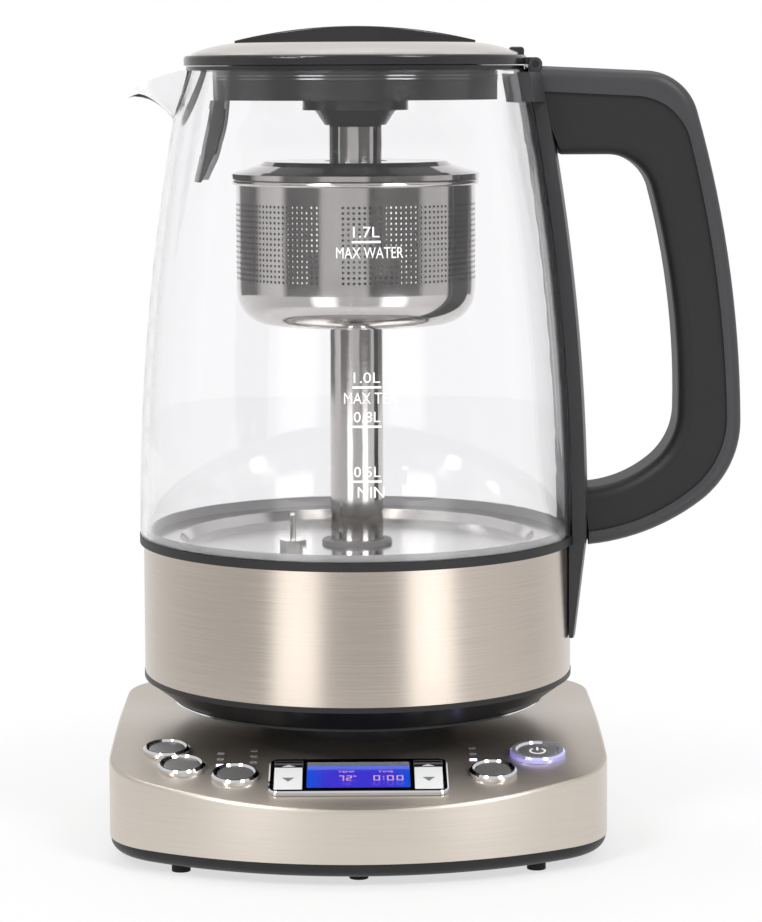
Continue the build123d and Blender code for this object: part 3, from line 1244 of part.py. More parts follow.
def make_filter_frame():
    """Horn-shaped frame of the spout filter with an open middle."""
    outer = filter_outer(0.0)
    inner = ThreePointArc((FILTER_TIP_RADIUS - FILTER_TIP_WIDTH, 0, FILTER_TIP_Z),
                          (FILTER_INNER_WAIST, 0, COLLAR_FOOT_Z - FILTER_WAIST_DROP),
                          (FILTER_INNER_RADIUS, 0, COLLAR_FOOT_Z))
    section = [outer, Line(outer @ 1, inner @ 0), inner, Line(inner @ 1, outer @ 0)]
    window = box_profile(FILTER_INNER_RADIUS - CLEAR / 4, FILTER_TIP_RADIUS + CLEAR / 4,
                         FILTER_TIP_Z + FILTER_WINDOW_RISE, COLLAR_FOOT_Z - FILTER_WINDOW_DROP)
    opening = part_turn(window, filter_half_angle(FILTER_WINDOW_FRAME), 180.0)
    return part_turn(section, FILTER_HALF_ANGLE, 180.0) - opening


def make_filter_mesh():
    """Fine mesh sheet in the frame's opening, along its outer side."""
    outer, inner = filter_outer(FILTER_MESH_INSET), filter_outer(FILTER_MESH_INSET + FILTER_MESH_WALL)
    section = [outer, Line(outer @ 1, inner @ 1), inner, Line(inner @ 0, outer @ 0)]
    sheet = part_turn(section, filter_half_angle(FILTER_WINDOW_FRAME + ASSEMBLY_GAP), 180.0)
    low = FILTER_TIP_Z + FILTER_WINDOW_RISE + ASSEMBLY_GAP
    return sheet & disc(FILTER_TIP_RADIUS, low, COLLAR_FOOT_Z - FILTER_WINDOW_DROP - ASSEMBLY_GAP)


def hinge_bar(radius, half_length):
    """Bar along Y on the lid's hinge axis."""
    return Location((HINGE_X, 0, HINGE_Z), (90, 0, 0)) * Cylinder(radius, 2 * half_length)


def make_lid_rim():
    """Black ring of the lid with its hinge knuckle and lug."""
    rim = tube(LID_RADIUS, LID_RIM_BORE, LID_RIM_FOOT_Z, LID_RIM_TOP_Z)
    rim = fillet(rim.edges().group_by(Axis.Z)[-1].sort_by(SortBy.RADIUS)[-1], LID_RIM_EDGE)
    tongue_length = HINGE_X - LID_LUG_X
    tongue_height = HINGE_Z + HINGE_BARREL_RADIUS - LID_RIM_FOOT_Z
    rim += block((tongue_length, 2 * HINGE_INNER_HALF, tongue_height), LID_LUG_X + tongue_length / 2, 0,
                 LID_RIM_FOOT_Z)
    rim += hinge_bar(HINGE_BARREL_RADIUS, HINGE_INNER_HALF)
    lug = block((LID_LUG_LENGTH, 2 * LID_LUG_HALF_WIDTH, LID_LUG_RISE + LID_LUG_SINK),
                LID_LUG_X + LID_LUG_LENGTH / 2, 0, LID_RIM_TOP_Z - LID_LUG_SINK)
    rim += fillet(lug.edges().group_by(Axis.Z)[-1], LID_LUG_EDGE)
    return rim - hinge_bar(HINGE_PIN_RADIUS + RUN_GAP, 2 * HINGE_INNER_HALF)


def cap_profile(inset):
    """Section of the lid's steel cap: flat top, arched shoulder and a short upright edge."""
    foot = LID_RIM_TOP_Z
    crown = foot + LID_CAP_RISE - inset
    radius = LID_CAP_RADIUS - inset
    flat = LID_CAP_FLAT_RADIUS - inset
    edge = foot + LID_CAP_EDGE
    middle = ((flat + radius) / 2, 0, (crown + edge) / 2 + LID_CAP_ARCH * (crown - edge))
    return [Line((0, 0, crown), (flat, 0, crown)),
            ThreePointArc((flat, 0, crown), middle, (radius, 0, edge)),
            Polyline((radius, 0, edge), (radius, 0, foot), (0, 0, foot), (0, 0, crown))]


def make_lid_cap():
    """Domed steel cap over the lid's ring, let down over the lug."""
    cap = turned(cap_profile(0.0)) - turned(cap_profile(LID_CAP_WALL))
    relief = 2 * LID_LUG_HALF_WIDTH + 2 * SEAT_GAP
    notch = Pos(LID_LUG_X - SEAT_GAP + CLEAR / 2, 0, LID_RIM_TOP_Z) * Box(CLEAR, relief, CLEAR / 2)
    return cap - notch


def make_lift_bar():
    """Black lift bar across the lid, arched in side view and in plan."""
    half = LIFT_BAR_LENGTH / 2
    foot = LIFT_BAR_FOOT_Z
    end = foot + LIFT_BAR_END_RISE
    tip, wide = LIFT_BAR_TIP_HALF_WIDTH, LIFT_BAR_HALF_WIDTH
    arch = [ThreePointArc((-half, 0, end), (0, 0, foot + LIFT_BAR_RISE), (half, 0, end)),
            Polyline((half, 0, end), (half, 0, foot), (-half, 0, foot), (-half, 0, end))]
    plan = [ThreePointArc((-half, -tip), (0, -wide), (half, -tip)), Line((half, -tip), (half, tip)),
            ThreePointArc((half, tip), (0, wide), (-half, tip)), Line((-half, tip), (-half, -tip))]
    bar = extrude(make_face(arch), wide, dir=(0, 1, 0), both=True)
    bar &= Pos(0, 0, foot) * extrude(make_face(plan), LIFT_BAR_RISE)
    crest = [edge for edge in bar.edges() if edge.position_at(0.5).Z > foot + LIFT_BAR_END_RISE + TOUCH]
    return fillet(crest, LIFT_BAR_EDGE)


def make_lid_plug():
    """Black cup under the lid that fills the collar."""
    top = LID_RIM_TOP_Z - PLUG_CUP_HEADROOM
    cup = disc(PLUG_CUP_RADIUS, COLLAR_FOOT_Z, top)
    cup -= disc(PLUG_CUP_RADIUS - PLUG_CUP_WALL, COLLAR_FOOT_Z + PLUG_CUP_WALL, top)
    cup -= tube(PLUG_CUP_RADIUS + OVERCUT, LID_RIM_BORE - ASSEMBLY_GAP, LID_RIM_FOOT_Z, LID_RIM_TOP_Z)
    return cup - tube(LID_SEAL_RADIUS, LID_SEAL_BORE, seal_foot(), seal_foot() + LID_SEAL_HEIGHT)


def seal_foot():
    """Height of the lid seal's underside."""
    return LID_RIM_FOOT_Z - LID_SEAL_DROP - LID_SEAL_HEIGHT


def make_lid_seal():
    """Silicone ring round the lid's cup."""
    ring = tube(LID_SEAL_RADIUS, LID_SEAL_BORE, seal_foot(), seal_foot() + LID_SEAL_HEIGHT)
    return fillet(ring.edges().filter_by(GeomType.CIRCLE).sort_by(SortBy.RADIUS)[-2:], LID_SEAL_EDGE)


def make_lid_cone():
    """Flared guide under the lid that drops over the column's crown."""
    mouth = CONE_TOP_Z - CONE_DEPTH
    bore = CONE_TOP_RADIUS - CONE_WALL
    outline = [(CONE_FLANGE_RADIUS, COLLAR_FOOT_Z), (CONE_FLANGE_RADIUS, CONE_TOP_Z),
               (CONE_TOP_RADIUS, CONE_TOP_Z), (CONE_MOUTH_RADIUS, mouth),
               (CONE_MOUTH_RADIUS - CONE_LIP_WALL, mouth), (bore, CONE_TOP_Z), (bore, COLLAR_FOOT_Z)]
    return turned(profile(outline))


# ---------------------------------------------------------------- handle pieces
def strap_sector(low, high, half_angle):
    """Part turn hugging the jug's side between two heights."""
    inner = glass_side(low, high, -STRAP_GAP)
    outer = glass_side(low, high, -STRAP_THICKNESS)
    return part_turn([inner, Line(inner @ 1, outer @ 1), outer, Line(outer @ 0, inner @ 0)], half_angle)


def strap_tail():
    """Tapered end of the strap beside the steel band."""
    step = SEAL_FOOT_Z - STRAP_GAP
    seal_side = GLASS_FOOT_RADIUS + STRAP_GAP
    band_side = BAND_RADIUS + STRAP_GAP
    outline = [(band_side, STRAP_FOOT_Z), (band_side + STRAP_FOOT_THICKNESS, STRAP_FOOT_Z),
               (GLASS_FOOT_RADIUS + STRAP_THICKNESS, GLASS_FOOT_Z), (seal_side, GLASS_FOOT_Z),
               (seal_side, step), (band_side, step)]
    return part_turn(profile(outline), STRAP_HALF_ANGLE)


def hinge_ear(side):
    """Ear of the lid's hinge on one side, with its stem down into the neck block."""
    middle = side * (HINGE_INNER_HALF + SEAT_GAP + HINGE_EAR_WALL / 2)
    ear = Location((HINGE_X, middle, HINGE_Z), (90, 0, 0)) * Cylinder(HINGE_BARREL_RADIUS, HINGE_EAR_WALL)
    foot = NECK_BLOCK_TOP_Z - HINGE_STEM_ROOT
    stem = block((2 * HINGE_BARREL_RADIUS, HINGE_EAR_WALL, HINGE_Z - foot), HINGE_X, middle, foot)
    return ear + (stem & disc(GLASS_RIM_RADIUS + STRAP_THICKNESS, foot, HINGE_Z))


def make_bracket():
    """Black strap down the jug's side with the neck block and the hinge ears."""
    bracket = strap_sector(GLASS_FOOT_Z, NECK_BLOCK_TOP_Z, STRAP_HALF_ANGLE) + strap_tail()
    bracket += strap_sector(NECK_BLOCK_FOOT_Z, NECK_BLOCK_TOP_Z, NECK_BLOCK_HALF_ANGLE)
    for side in (-1, 1):
        bracket += hinge_ear(side)
    bracket -= glass_solid(GLASS_FOOT_Z, GLASS_RIM_Z + STRAP_GAP, -STRAP_GAP)
    bracket -= hinge_bar(HINGE_BARREL_RADIUS + SEAT_GAP, HINGE_INNER_HALF + SEAT_GAP)
    bracket -= hinge_bar(HINGE_PIN_RADIUS, CLEAR)
    for z in (HANDLE_SCREW_LOW_Z, HANDLE_SCREW_HIGH_Z):
        bracket -= screw_along_x(z, HANDLE_SCREW_RADIUS, 0.0, CLEAR)
        bracket -= screw_along_x(z, HANDLE_SCREW_HEAD_RADIUS + ASSEMBLY_GAP, -CLEAR / 4, SCREW_HEAD_HEIGHT)
    return bracket


def screw_along_x(z, radius, start, end):
    """Bar along X, measured from the strap's inner face at height z."""
    face = glass_radius(z, -STRAP_GAP)
    return Location((face + start, 0, z), (0, 90, 0)) * extrude(Circle(radius), end - start)


def make_handle_screws():
    """Screws from behind the strap into the grip."""
    screws = []
    for z in (HANDLE_SCREW_LOW_Z, HANDLE_SCREW_HIGH_Z):
        head = screw_along_x(z, HANDLE_SCREW_HEAD_RADIUS, SEAT_GAP, SCREW_HEAD_HEIGHT)
        screws.append(head + screw_along_x(z, HANDLE_SCREW_RADIUS, SCREW_HEAD_HEIGHT, HANDLE_SCREW_LENGTH))
    return screws


def handle_outline(points):
    """Line through the first two points, then tangent arcs through the rest."""
    edges = [Line(xz(points[0]), xz(points[1]))]
    for start, end in zip(points[1:-1], points[2:]):
        edges.append(TangentArc(xz(start), xz(end), tangent=edges[-1] % 1))
    return edges


def handle_half(kept, mating, half_width, edge_radius):
    """Slab between two handle outlines, rounded along the kept one and trimmed to the strap."""
    closing = [Line(kept[0] @ 0, mating[0] @ 0), Line(kept[-1] @ 1, mating[-1] @ 1)]
    slab = extrude(make_face(kept + mating + closing), half_width, dir=(0, 1, 0), both=True)
    rounded = [edge for edge in slab.edges() if runs_along(edge, kept, half_width)]
    slab = fillet(rounded, edge_radius)
    return slab - glass_solid(GLASS_FOOT_Z - HANDLE_TRIM, GLASS_RIM_Z + HANDLE_TRIM, -STRAP_THICKNESS)


def runs_along(edge, outline, half_width):
    """True for an edge of a flank that follows the outline."""
    middle = edge.position_at(0.5)
    if abs(abs(middle.Y) - half_width) > TOUCH:
        return False
    return min(curve.distance_to(Vector(middle.X, 0, middle.Z)) for curve in outline) < TOUCH


def make_spine():
    """Outer half of the handle."""
    spine = handle_half(handle_outline(SPINE_POINTS), handle_outline(SEAM_POINTS), SPINE_HALF_WIDTH,
                        SPINE_EDGE_RADIUS)
    return spine - hinge_bar(HINGE_BARREL_RADIUS + SEAT_GAP, SPINE_HALF_WIDTH + OVERCUT)


def make_grip():
    """Inner half of the handle, round the fingers."""
    grip = handle_half(handle_outline(HOLE_POINTS), handle_outline(SEAM_POINTS), GRIP_HALF_WIDTH,
                       GRIP_EDGE_RADIUS)
    for z in (HANDLE_SCREW_LOW_Z, HANDLE_SCREW_HIGH_Z):
        grip -= screw_along_x(z, HANDLE_SCREW_RADIUS, 0.0, HANDLE_SCREW_LENGTH)
    return grip


def make_hinge_pin():
    """Steel pin of the lid's hinge, held in the ears."""
    return hinge_bar(HINGE_PIN_RADIUS, HINGE_INNER_HALF + SEAT_GAP + HINGE_EAR_WALL)


# ---------------------------------------------------------------- all nodes
def make_base_nodes():
    """Nodes of the power base."""
    save("base_housing", make_tray())
    save("base_feet", make_feet())
    save("base_shell", make_shell())
    save("seat_pedestal", make_pedestal())
    save("base_plug", make_base_plug())
    save("plug_contacts", make_contacts())
    save("base_screws", make_base_screws())
    save("cord_inlet", make_inlet())
    save("power_board", make_power_board())
    save("power_components", make_power_components())


def make_control_nodes():
    """Nodes of the control panel."""
    save("control_board", Compound([make_board(), *make_key_switches()]))
    save("display_bezel", make_bezel())
    save("display_lens", make_lens())
    save("lcd_panel", make_lcd())
    save("display_carrier", make_carrier())
    save("rocker_pins", make_rocker_pins())
    save("indicator_lamps", make_indicators())
    save("button_rings", Compound([make_ring(name) for name in BUTTON_PLACES if name != "power_button"]))
    save("power_light_ring", make_ring("power_button"))
    for name in BUTTON_PLACES:
        save(name, make_button(name))
    for name, x in rocker_places().items():
        save(name, make_rocker(x))


def make_jug_nodes():
    """Nodes of the jug."""
    save("jug_socket", make_socket())
    save("glass_jug", make_glass())
    save("lower_seal", make_lower_seal())
    save("steel_band", make_band())
    save("band_trim_ring", make_trim())
    save("jug_base_cover", make_cover())
    save("jug_fasteners", Compound([*make_jug_screws(), *make_handle_screws(), make_column_nut()]))
    save("floor_pan", make_pan())
    save("heat_plate", make_heat_plate())
    save("heating_element", make_element())
    save("temperature_probe", make_probe())
    save("mouth_collar", make_collar())
    save("spout_filter_frame", make_filter_frame())
    save("spout_filter_mesh", make_filter_mesh())
    save("handle_bracket", make_bracket())
    save("handle_spine", make_spine())
    save("handle_grip", make_grip())
    save("hinge_pin", make_hinge_pin())


def make_drive_nodes():
    """Nodes of the column, the drive and the basket."""
    save("column_tube", make_column())
    save("column_seal", make_column_seal())
    bearing_feet = (COLUMN_FOOT_Z, SCREW_TOP_Z - BEARING_HEIGHT)
    save("screw_bearings", Compound([make_bearing(low) for low in bearing_feet]))
    save("lift_motor", make_motor())
    save("lead_screw", make_lead_screw())
    save("magnet_carriage", make_carriage())
    save("tea_basket", make_basket())
    save("basket_sleeve", make_sleeve())
    save("basket_magnets", Compound([make_magnet_case(), magnet_ring()]))
    save("basket_lid", make_basket_lid())


def make_lid_nodes():
    """Nodes of the jug's lid."""
    save("lid_rim", make_lid_rim())
    save("lid_cap", make_lid_cap())
    save("lift_bar", make_lift_bar())
    save("lid_plug", make_lid_plug())
    save("lid_seal", make_lid_seal())
    save("lid_cone", make_lid_cone())


def write_nodes():
    """Write each node to its own file."""
    os.makedirs("parts", exist_ok=True)
    for name, shape in parts.items():
        shape.label = name
        export_step(shape, f"parts/{name}.step")


make_base_nodes()
make_control_nodes()
make_jug_nodes()
make_drive_nodes()
make_lid_nodes()
write_nodes()
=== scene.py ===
"""Looks of the automatic tea maker: glass jug with a lifting tea basket, on a power base with a lit screen.

Sizes are in millimetres and become metres by MM or in mm(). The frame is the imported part's own: the jug
stands on the Z axis, its handle points to +X and the controls face -Y. Azimuths are degrees from the front,
to the right."""
import math

import bmesh
import bpy
from mathutils import Matrix, Vector


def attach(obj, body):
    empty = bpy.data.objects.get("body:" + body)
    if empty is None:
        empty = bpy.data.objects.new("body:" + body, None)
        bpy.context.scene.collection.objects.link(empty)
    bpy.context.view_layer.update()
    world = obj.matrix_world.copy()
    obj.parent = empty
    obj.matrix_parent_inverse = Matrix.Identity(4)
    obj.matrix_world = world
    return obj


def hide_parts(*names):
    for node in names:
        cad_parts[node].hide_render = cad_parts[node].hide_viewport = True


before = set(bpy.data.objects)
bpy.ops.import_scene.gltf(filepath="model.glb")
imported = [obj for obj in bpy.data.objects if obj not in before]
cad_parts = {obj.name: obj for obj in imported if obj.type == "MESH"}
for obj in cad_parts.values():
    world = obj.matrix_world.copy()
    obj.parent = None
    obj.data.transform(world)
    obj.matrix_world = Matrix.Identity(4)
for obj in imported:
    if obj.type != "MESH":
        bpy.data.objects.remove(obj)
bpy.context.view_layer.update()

MM = 0.001

# ---------------------------------------------------------------- sizes shared with the solids
GLASS_FOOT_RADIUS, GLASS_FOOT_Z, GLASS_ARC_RADIUS = 77.0, 106.0, 825.15
BAND_RADIUS, SEAL_LIP_RADIUS = 76.0, 76.2
PANEL_BEND, PANEL_CREST_Y, PANEL_TOP_Z = 410.0, 10.0, 39.0
DISPLAY_Y, SCREEN_HALF_WIDTH, SCREEN_HALF_DEPTH, LENS_RISE = -68.5, 17.5, 10.5, 0.9
KEY_X, KEY_HALF, KEY_RIDGE_Y, KEY_RIDGE_RISE, KEY_END_RISE = 23.6, 11.2, 3.6, 2.5, 0.9
POWER_PLACE, POWER_CAP_RISE, POWER_RIM_RADIUS = (61.5, -48.0), 1.3, 8.4
LIT_LAMPS, LAMP_REACH = ((-47.2, -56.5), (39.3, -52.7)), 2.2
BASKET_RADIUS, BASKET_WALL, BASKET_CORNER = 42.2, 0.8, 12.0
BASKET_FLOOR_Z, BASKET_RIM_Z, BEAD_RADIUS, SLEEVE_RADIUS = 180.0, 231.0, 43.6, 10.8

# ---------------------------------------------------------------- sizes of the fine work
HOLES_LOW_Z, HOLE_ROWS, HOLE_PITCH, HOLE_RADIUS = 195.6, 15, 1.84, 0.50
HOLES_HIGH_Z = HOLES_LOW_Z + HOLE_ROWS * HOLE_PITCH
HOLE_COLUMNS, SEAM_COLUMNS, SEAM_END = 140, 4, -97.2
COLLAR_RADIUS, COLLAR_RIDGES_Z, COLLAR_TILT = 50.0, (265.9, 267.0, 268.1), 5.0
COVER_RIDGE_RADIUS, COVER_RIDGE_Z, COVER_TILT = 65.7, 47.3, 14.0
PAINTED_HIGHLIGHT_ARCS, ARC_FADE = ((-80.0, -48.0), (47.0, 74.0)), 6.0  # azimuths of the painted highlight arcs
RIDGE_PROUD, RIDGE_HALF = 0.30, 0.22
MARKS_X = 3.4
LEVEL_MARKS = (("1.7L", 212.3, "MAX WATER", 22.4), ("1.0L", 164.4, "MAX TEA", 17.6),
               ("0.8L", 151.4, "", 0.0), ("0.5L", 133.2, "MIN", 8.8))  # mark, line's height, words, width
DIGITS_LOW, DIGITS_HIGH, STROKE = -3.4, 4.0, 0.5
SEGMENTS = {"0": "abcdef", "2": "abdeg", "7": "abc"}

# ---------------------------------------------------------------- brushing
BRUSH_ALONG, BRUSH_ACROSS = 30.0, 2600.0
BRUSHED = {"detail": 3.0, "roughness": 0.6}

# ---------------------------------------------------------------- what mirrors see, and the basket's painted daylight
FLOOR_RING = ((-180, 0.95), (-140, 0.95), (-115, 0.84), (-80, 0.68), (-45, 0.62), (-38, 2.2), (-22, 2.2),
              (-15, 0.66), (0, 0.62), (21, 0.64), (28, 2.4), (44, 2.4), (52, 0.95), (75, 0.88), (100, 0.80),
              (130, 0.95), (180, 0.95))  # azimuth, grey
STUDIO_RING = ((-180, 1.0), (-151, 1.0), (-144, 0.16), (-112, 0.10), (-101, 0.62), (-76, 0.80),
               (-68, 0.10), (-36, 0.13), (-31, 0.55), (9, 0.60), (14, 0.08), (61, 0.12), (68, 0.60),
               (99, 0.62), (104, 0.10), (144, 0.16), (151, 1.0), (180, 1.0))
LAMP_RING = ((-180, 0), (-47, 0), (-44, 5), (-27, 5), (-24, 0), (24, 0), (27, 5), (46, 5), (49, 0), (180, 0))
LAMPS_LOW, LAMPS_HIGH = 0.06, 0.32  # height of the low lamps, as Z of a direction
PAINTED_DAYLIGHT_ZONES = ((-25, 0.0), (-24, 0.75), (-13, 0.75), (-11, 0.0), (4, 0.0), (6, 0.8), (22, 0.8), (24, 0.0),
                  (32, 0.0), (34, 0.6))  # x, grey of the painted daylight
KNEE_Z = 188.6  # above it, everything inside the basket's outer wall is its inner one

# ---------------------------------------------------------------- camera and lamps
CAMERA_PLACE, CAMERA_LENS, CAMERA_SHIFT = (-0.36, -1100.97, 267.55), 121.711, -0.12
CAMERA_DOWN, CAMERA_RIGHT, CAMERA_ROLL = 5.0586, 0.4725, -0.2255  # degrees
LAMP_AIM_Z = 150.0
FLOOR_RADIUS, FLOOR_SIDES = 1500.0, 96


def mm(*values):
    """Millimetres to a vector in metres."""
    return Vector(values) * MM


# ---------------------------------------------------------------- node building
class Value:
    """One output socket of a node tree, with the operators that node maths needs."""

    def __init__(self, nodes, socket):
        self.nodes, self.socket = nodes, socket

    def __add__(self, other):
        return self.nodes.maths("ADD", self, other)

    def __sub__(self, other):
        return self.nodes.maths("SUBTRACT", self, other)

    def __rsub__(self, other):
        return self.nodes.maths("SUBTRACT", other, self)

    def __mul__(self, other):
        return self.nodes.maths("MULTIPLY", self, other)

    def __truediv__(self, other):
        return self.nodes.maths("DIVIDE", self, other)

    def __pow__(self, other):
        return self.nodes.maths("POWER", self, other)

    def __mod__(self, other):
        return self.nodes.maths("FLOORED_MODULO", self, other)

    def above(self, other):
        """1 where this is greater than the other, else 0."""
        return self.nodes.maths("GREATER_THAN", self, other)

    def below(self, other):
        """1 where this is less than the other, else 0."""
        return self.nodes.maths("LESS_THAN", self, other)

    __radd__, __rmul__ = __add__, __mul__


class Nodes:
    """A node tree being built."""

    def __init__(self, tree):
        self.tree = tree
        tree.nodes.clear()

    def node(self, kind, settings=None, sockets=None, out=0):
        """Adds a node, gives it its settings, then its sockets' values or links, and returns one output."""
        made = self.tree.nodes.new(kind)
        for name, value in (settings or {}).items():
            if name == "stops":
                ramp = made.color_ramp
                while len(ramp.elements) < len(value):
                    ramp.elements.new(1.0)
                for element, (place, colour) in zip(ramp.elements, value):
                    element.position, element.color = place, (*colour, 1.0)
            else:
                setattr(made, name, value)
        for name, value in (sockets or {}).items():
            if isinstance(value, Value):
                self.tree.links.new(value.socket, made.inputs[name])
            elif isinstance(value, tuple) and made.inputs[name].type == "RGBA":
                made.inputs[name].default_value = (*value, 1.0)
            else:
                made.inputs[name].default_value = value
        return Value(self, made.outputs[out]) if made.outputs else None

    def outputs(self, kind):
        """Every output of a new node that needs nothing, by its name."""
        return {socket.name: Value(self, socket) for socket in self.node(kind).socket.node.outputs}

    def maths(self, operation, *values):
        return self.node("ShaderNodeMath", {"operation": operation}, dict(enumerate(values)))

    def axes(self, vector):
        """The three numbers of a vector."""
        split = self.node("ShaderNodeSeparateXYZ", {}, {0: vector})
        return [Value(self, socket) for socket in split.socket.node.outputs]

    def vector(self, x, y, z):
        return self.node("ShaderNodeCombineXYZ", {}, {0: x, 1: y, 2: z})

    def blend(self, factor, first, second):
        """Colour between two colours."""
        return self.node("ShaderNodeMix", {"data_type": "RGBA"}, {0: factor, 6: first, 7: second}, out=2)

    def noise(self, place, scale, detail=2.0, roughness=0.5):
        return self.node("ShaderNodeTexNoise", {}, {"Vector": place, "Scale": scale, "Detail": detail,
                                                    "Roughness": roughness})

    def smooth(self, value, low, high):
        """0 below low, 1 above high, soft between."""
        return self.node("ShaderNodeMapRange", {"interpolation_type": "SMOOTHSTEP"},
                         {"Value": value, "From Min": low, "From Max": high})

    def azimuth(self, x, y):
        return self.maths("ARCTAN2", x, y * -1.0) * (180.0 / math.pi)

    def ring(self, x, y, stops):
        """Grey that changes with the azimuth; stops are (azimuth, grey)."""
        most = max(grey for _, grey in stops)
        places = [(azimuth / 360 + 0.5, (grey / most,) * 3) for azimuth, grey in stops]
        share = self.azimuth(x, y) * (1 / 360) + 0.5
        ramp = self.node("ShaderNodeValToRGB", {"stops": places}, {"Fac": share})
        return self.node("ShaderNodeVectorMath", {"operation": "SCALE"}, {0: ramp, "Scale": most})


class Finish(Nodes):
    """A material being built on object coordinates."""

    def __init__(self, name):
        self.material = bpy.data.materials.new(name)
        self.material.use_nodes = True
        super().__init__(self.material.node_tree)
        self.place = self.node("ShaderNodeTexCoord", {}, {}, out="Object")
        self.x, self.y, self.z = self.axes(self.place)

    def away(self, x=0.0, y=0.0):
        """Distance from an upright line, which is the jug's axis if no place is given."""
        across, back = self.x - x * MM, self.y - y * MM
        return (across * across + back * back) ** 0.5

    def turn(self):
        """Angle round the jug's axis."""
        return self.maths("ARCTAN2", self.y, self.x)

    def stretched(self, x, y, z, detail=2.0, roughness=0.5):
        """Noise with its own scale along each axis."""
        return self.noise(self.vector(self.x * x, self.y * y, self.z * z), 1.0, detail, roughness)

    def bump(self, height, microns, strength=1.0):
        return self.node("ShaderNodeBump", {}, {"Height": height, "Distance": microns * MM * MM,
                                                "Strength": strength})

    def looked_at(self):
        """1 where the surface is seen directly or through something clear, 0 in mirrors and as a light."""
        path = self.outputs("ShaderNodeLightPath")
        return (path["Is Camera Ray"] + path["Is Transmission Ray"]) * path["Glossy Depth"].below(0.5)

    def done(self, **sockets):
        """Ends the material in one shader; names of sockets have their spaces as underscores."""
        named = {name.replace("_", " "): value for name, value in sockets.items()}
        shader = self.node("ShaderNodeBsdfPrincipled", {}, named)
        self.node("ShaderNodeOutputMaterial", {}, {"Surface": shader})
        return self.material


# ---------------------------------------------------------------- steel and plating
def level_brushed_steel():
    """Steel brushed from side to side, on the base's top and round its skirt."""
    f = Finish("level_brushed_steel")
    top = f.stretched(BRUSH_ALONG, BRUSH_ACROSS, 0.0, **BRUSHED)
    side = f.stretched(BRUSH_ALONG, BRUSH_ALONG, BRUSH_ACROSS, **BRUSHED)
    upward = f.axes(f.node("ShaderNodeNewGeometry", {}, {}, out="True Normal"))[2]
    hair = side + (top - side) * f.smooth(upward, 0.4, 0.7)
    cloud = f.stretched(8.0, 26.0, 60.0)
    colour = f.blend(hair, (0.60, 0.54, 0.48), (0.72, 0.655, 0.585))
    return f.done(Base_Color=colour, Metallic=1.0, Roughness=0.29 + hair * 0.10 + cloud * 0.06,
                  Anisotropic=0.75, Anisotropic_Rotation=0.25, Normal=f.bump(hair, 6))


def round_brushed_steel():
    """Steel brushed round the jug's band."""
    f = Finish("round_brushed_steel")
    run = f.turn() * (BAND_RADIUS * MM * BRUSH_ALONG)
    hair = f.noise(f.vector(run, f.z * BRUSH_ACROSS, f.away() * BRUSH_ACROSS), 1.0, **BRUSHED)
    cloud = f.noise(f.place, 16.0)
    colour = f.blend(hair, (0.50, 0.440, 0.382), (0.62, 0.550, 0.488))
    return f.done(Base_Color=colour, Metallic=1.0, Roughness=0.17 + hair * 0.09 + cloud * 0.04,
                  Normal=f.bump(hair, 10))


def lid_steel():
    """Finely brushed steel of the lid's cap."""
    f = Finish("lid_steel")
    hair = f.stretched(40.0, 2200.0, 900.0, **BRUSHED)
    colour = f.blend(hair, (0.72, 0.68, 0.64), (0.82, 0.78, 0.74))
    return f.done(Base_Color=colour, Metallic=1.0, Roughness=0.20 + hair * 0.08, Normal=f.bump(hair, 8))


def polished_steel(name, colour=(0.66, 0.64, 0.62), roughness=0.07):
    """Drawn and polished steel with a little wave in its sheet and faint wiping marks."""
    f = Finish(name)
    wave = f.noise(f.place, 26.0)
    wiping = f.stretched(60.0, 60.0, 900.0)
    dark = tuple(c * 0.93 for c in colour)
    return f.done(Base_Color=f.blend(wave, dark, colour), Metallic=1.0,
                  Roughness=roughness + wiping * 0.05, Normal=f.bump(wave, 120, 0.5))


def basket_steel():
    """Polished steel of the basket, with painted daylight: a glow drawn in zones on its rear inner wall
    stands for the light that comes through its far holes behind some of the near ones.
    """
    f = Finish("basket_steel")
    wave = f.noise(f.place, 26.0)
    zones = [(0.5 + x / (2 * BASKET_RADIUS), (grey,) * 3) for x, grey in PAINTED_DAYLIGHT_ZONES]
    across = f.x * (0.5 / (BASKET_RADIUS * MM)) + 0.5
    painted_daylight = f.node("ShaderNodeValToRGB", {"stops": zones}, {"Fac": across})
    patchy = f.smooth(f.noise(f.place, 420.0, 1.0), 0.30, 0.48)
    rear_wall = f.away().below((BASKET_RADIUS - BASKET_WALL + 0.1) * MM) * f.y.above(0.0)
    holes = f.z.above(KNEE_Z * MM) * f.z.below(HOLES_HIGH_Z * MM)
    # painted daylight: a glow on the rear inner wall among the holes, seen directly and through clear things
    behind = rear_wall * holes * f.looked_at() * patchy
    return f.done(Base_Color=f.blend(wave, (0.61, 0.595, 0.575), (0.66, 0.64, 0.62)), Metallic=1.0,
                  Roughness=0.06 + wave * 0.05, Normal=f.bump(wave, 120, 0.5), Emission_Strength=1.0,
                  Emission_Color=f.blend(behind, (0.0, 0.0, 0.0), painted_daylight))


def ridge_gloss():
    """Black gloss of the cover's ridge, with painted highlights: bright white plating along two arcs."""
    f = Finish("ridge_gloss")
    turn = f.azimuth(f.x, f.y)
    left, right = (f.smooth(turn, start, start + ARC_FADE) * (1.0 - f.smooth(turn, end - ARC_FADE, end))
                   for start, end in PAINTED_HIGHLIGHT_ARCS)
    painted_highlight = left + right
    wear = f.noise(f.place, 900.0)
    # painted highlight: white metal on two arcs stands for the lamps' glints on the ridge
    return f.done(Base_Color=f.blend(painted_highlight, (0.012, 0.012, 0.012), (0.96, 0.96, 0.98)), Metallic=painted_highlight,
                  Roughness=0.12 + wear * 0.06)


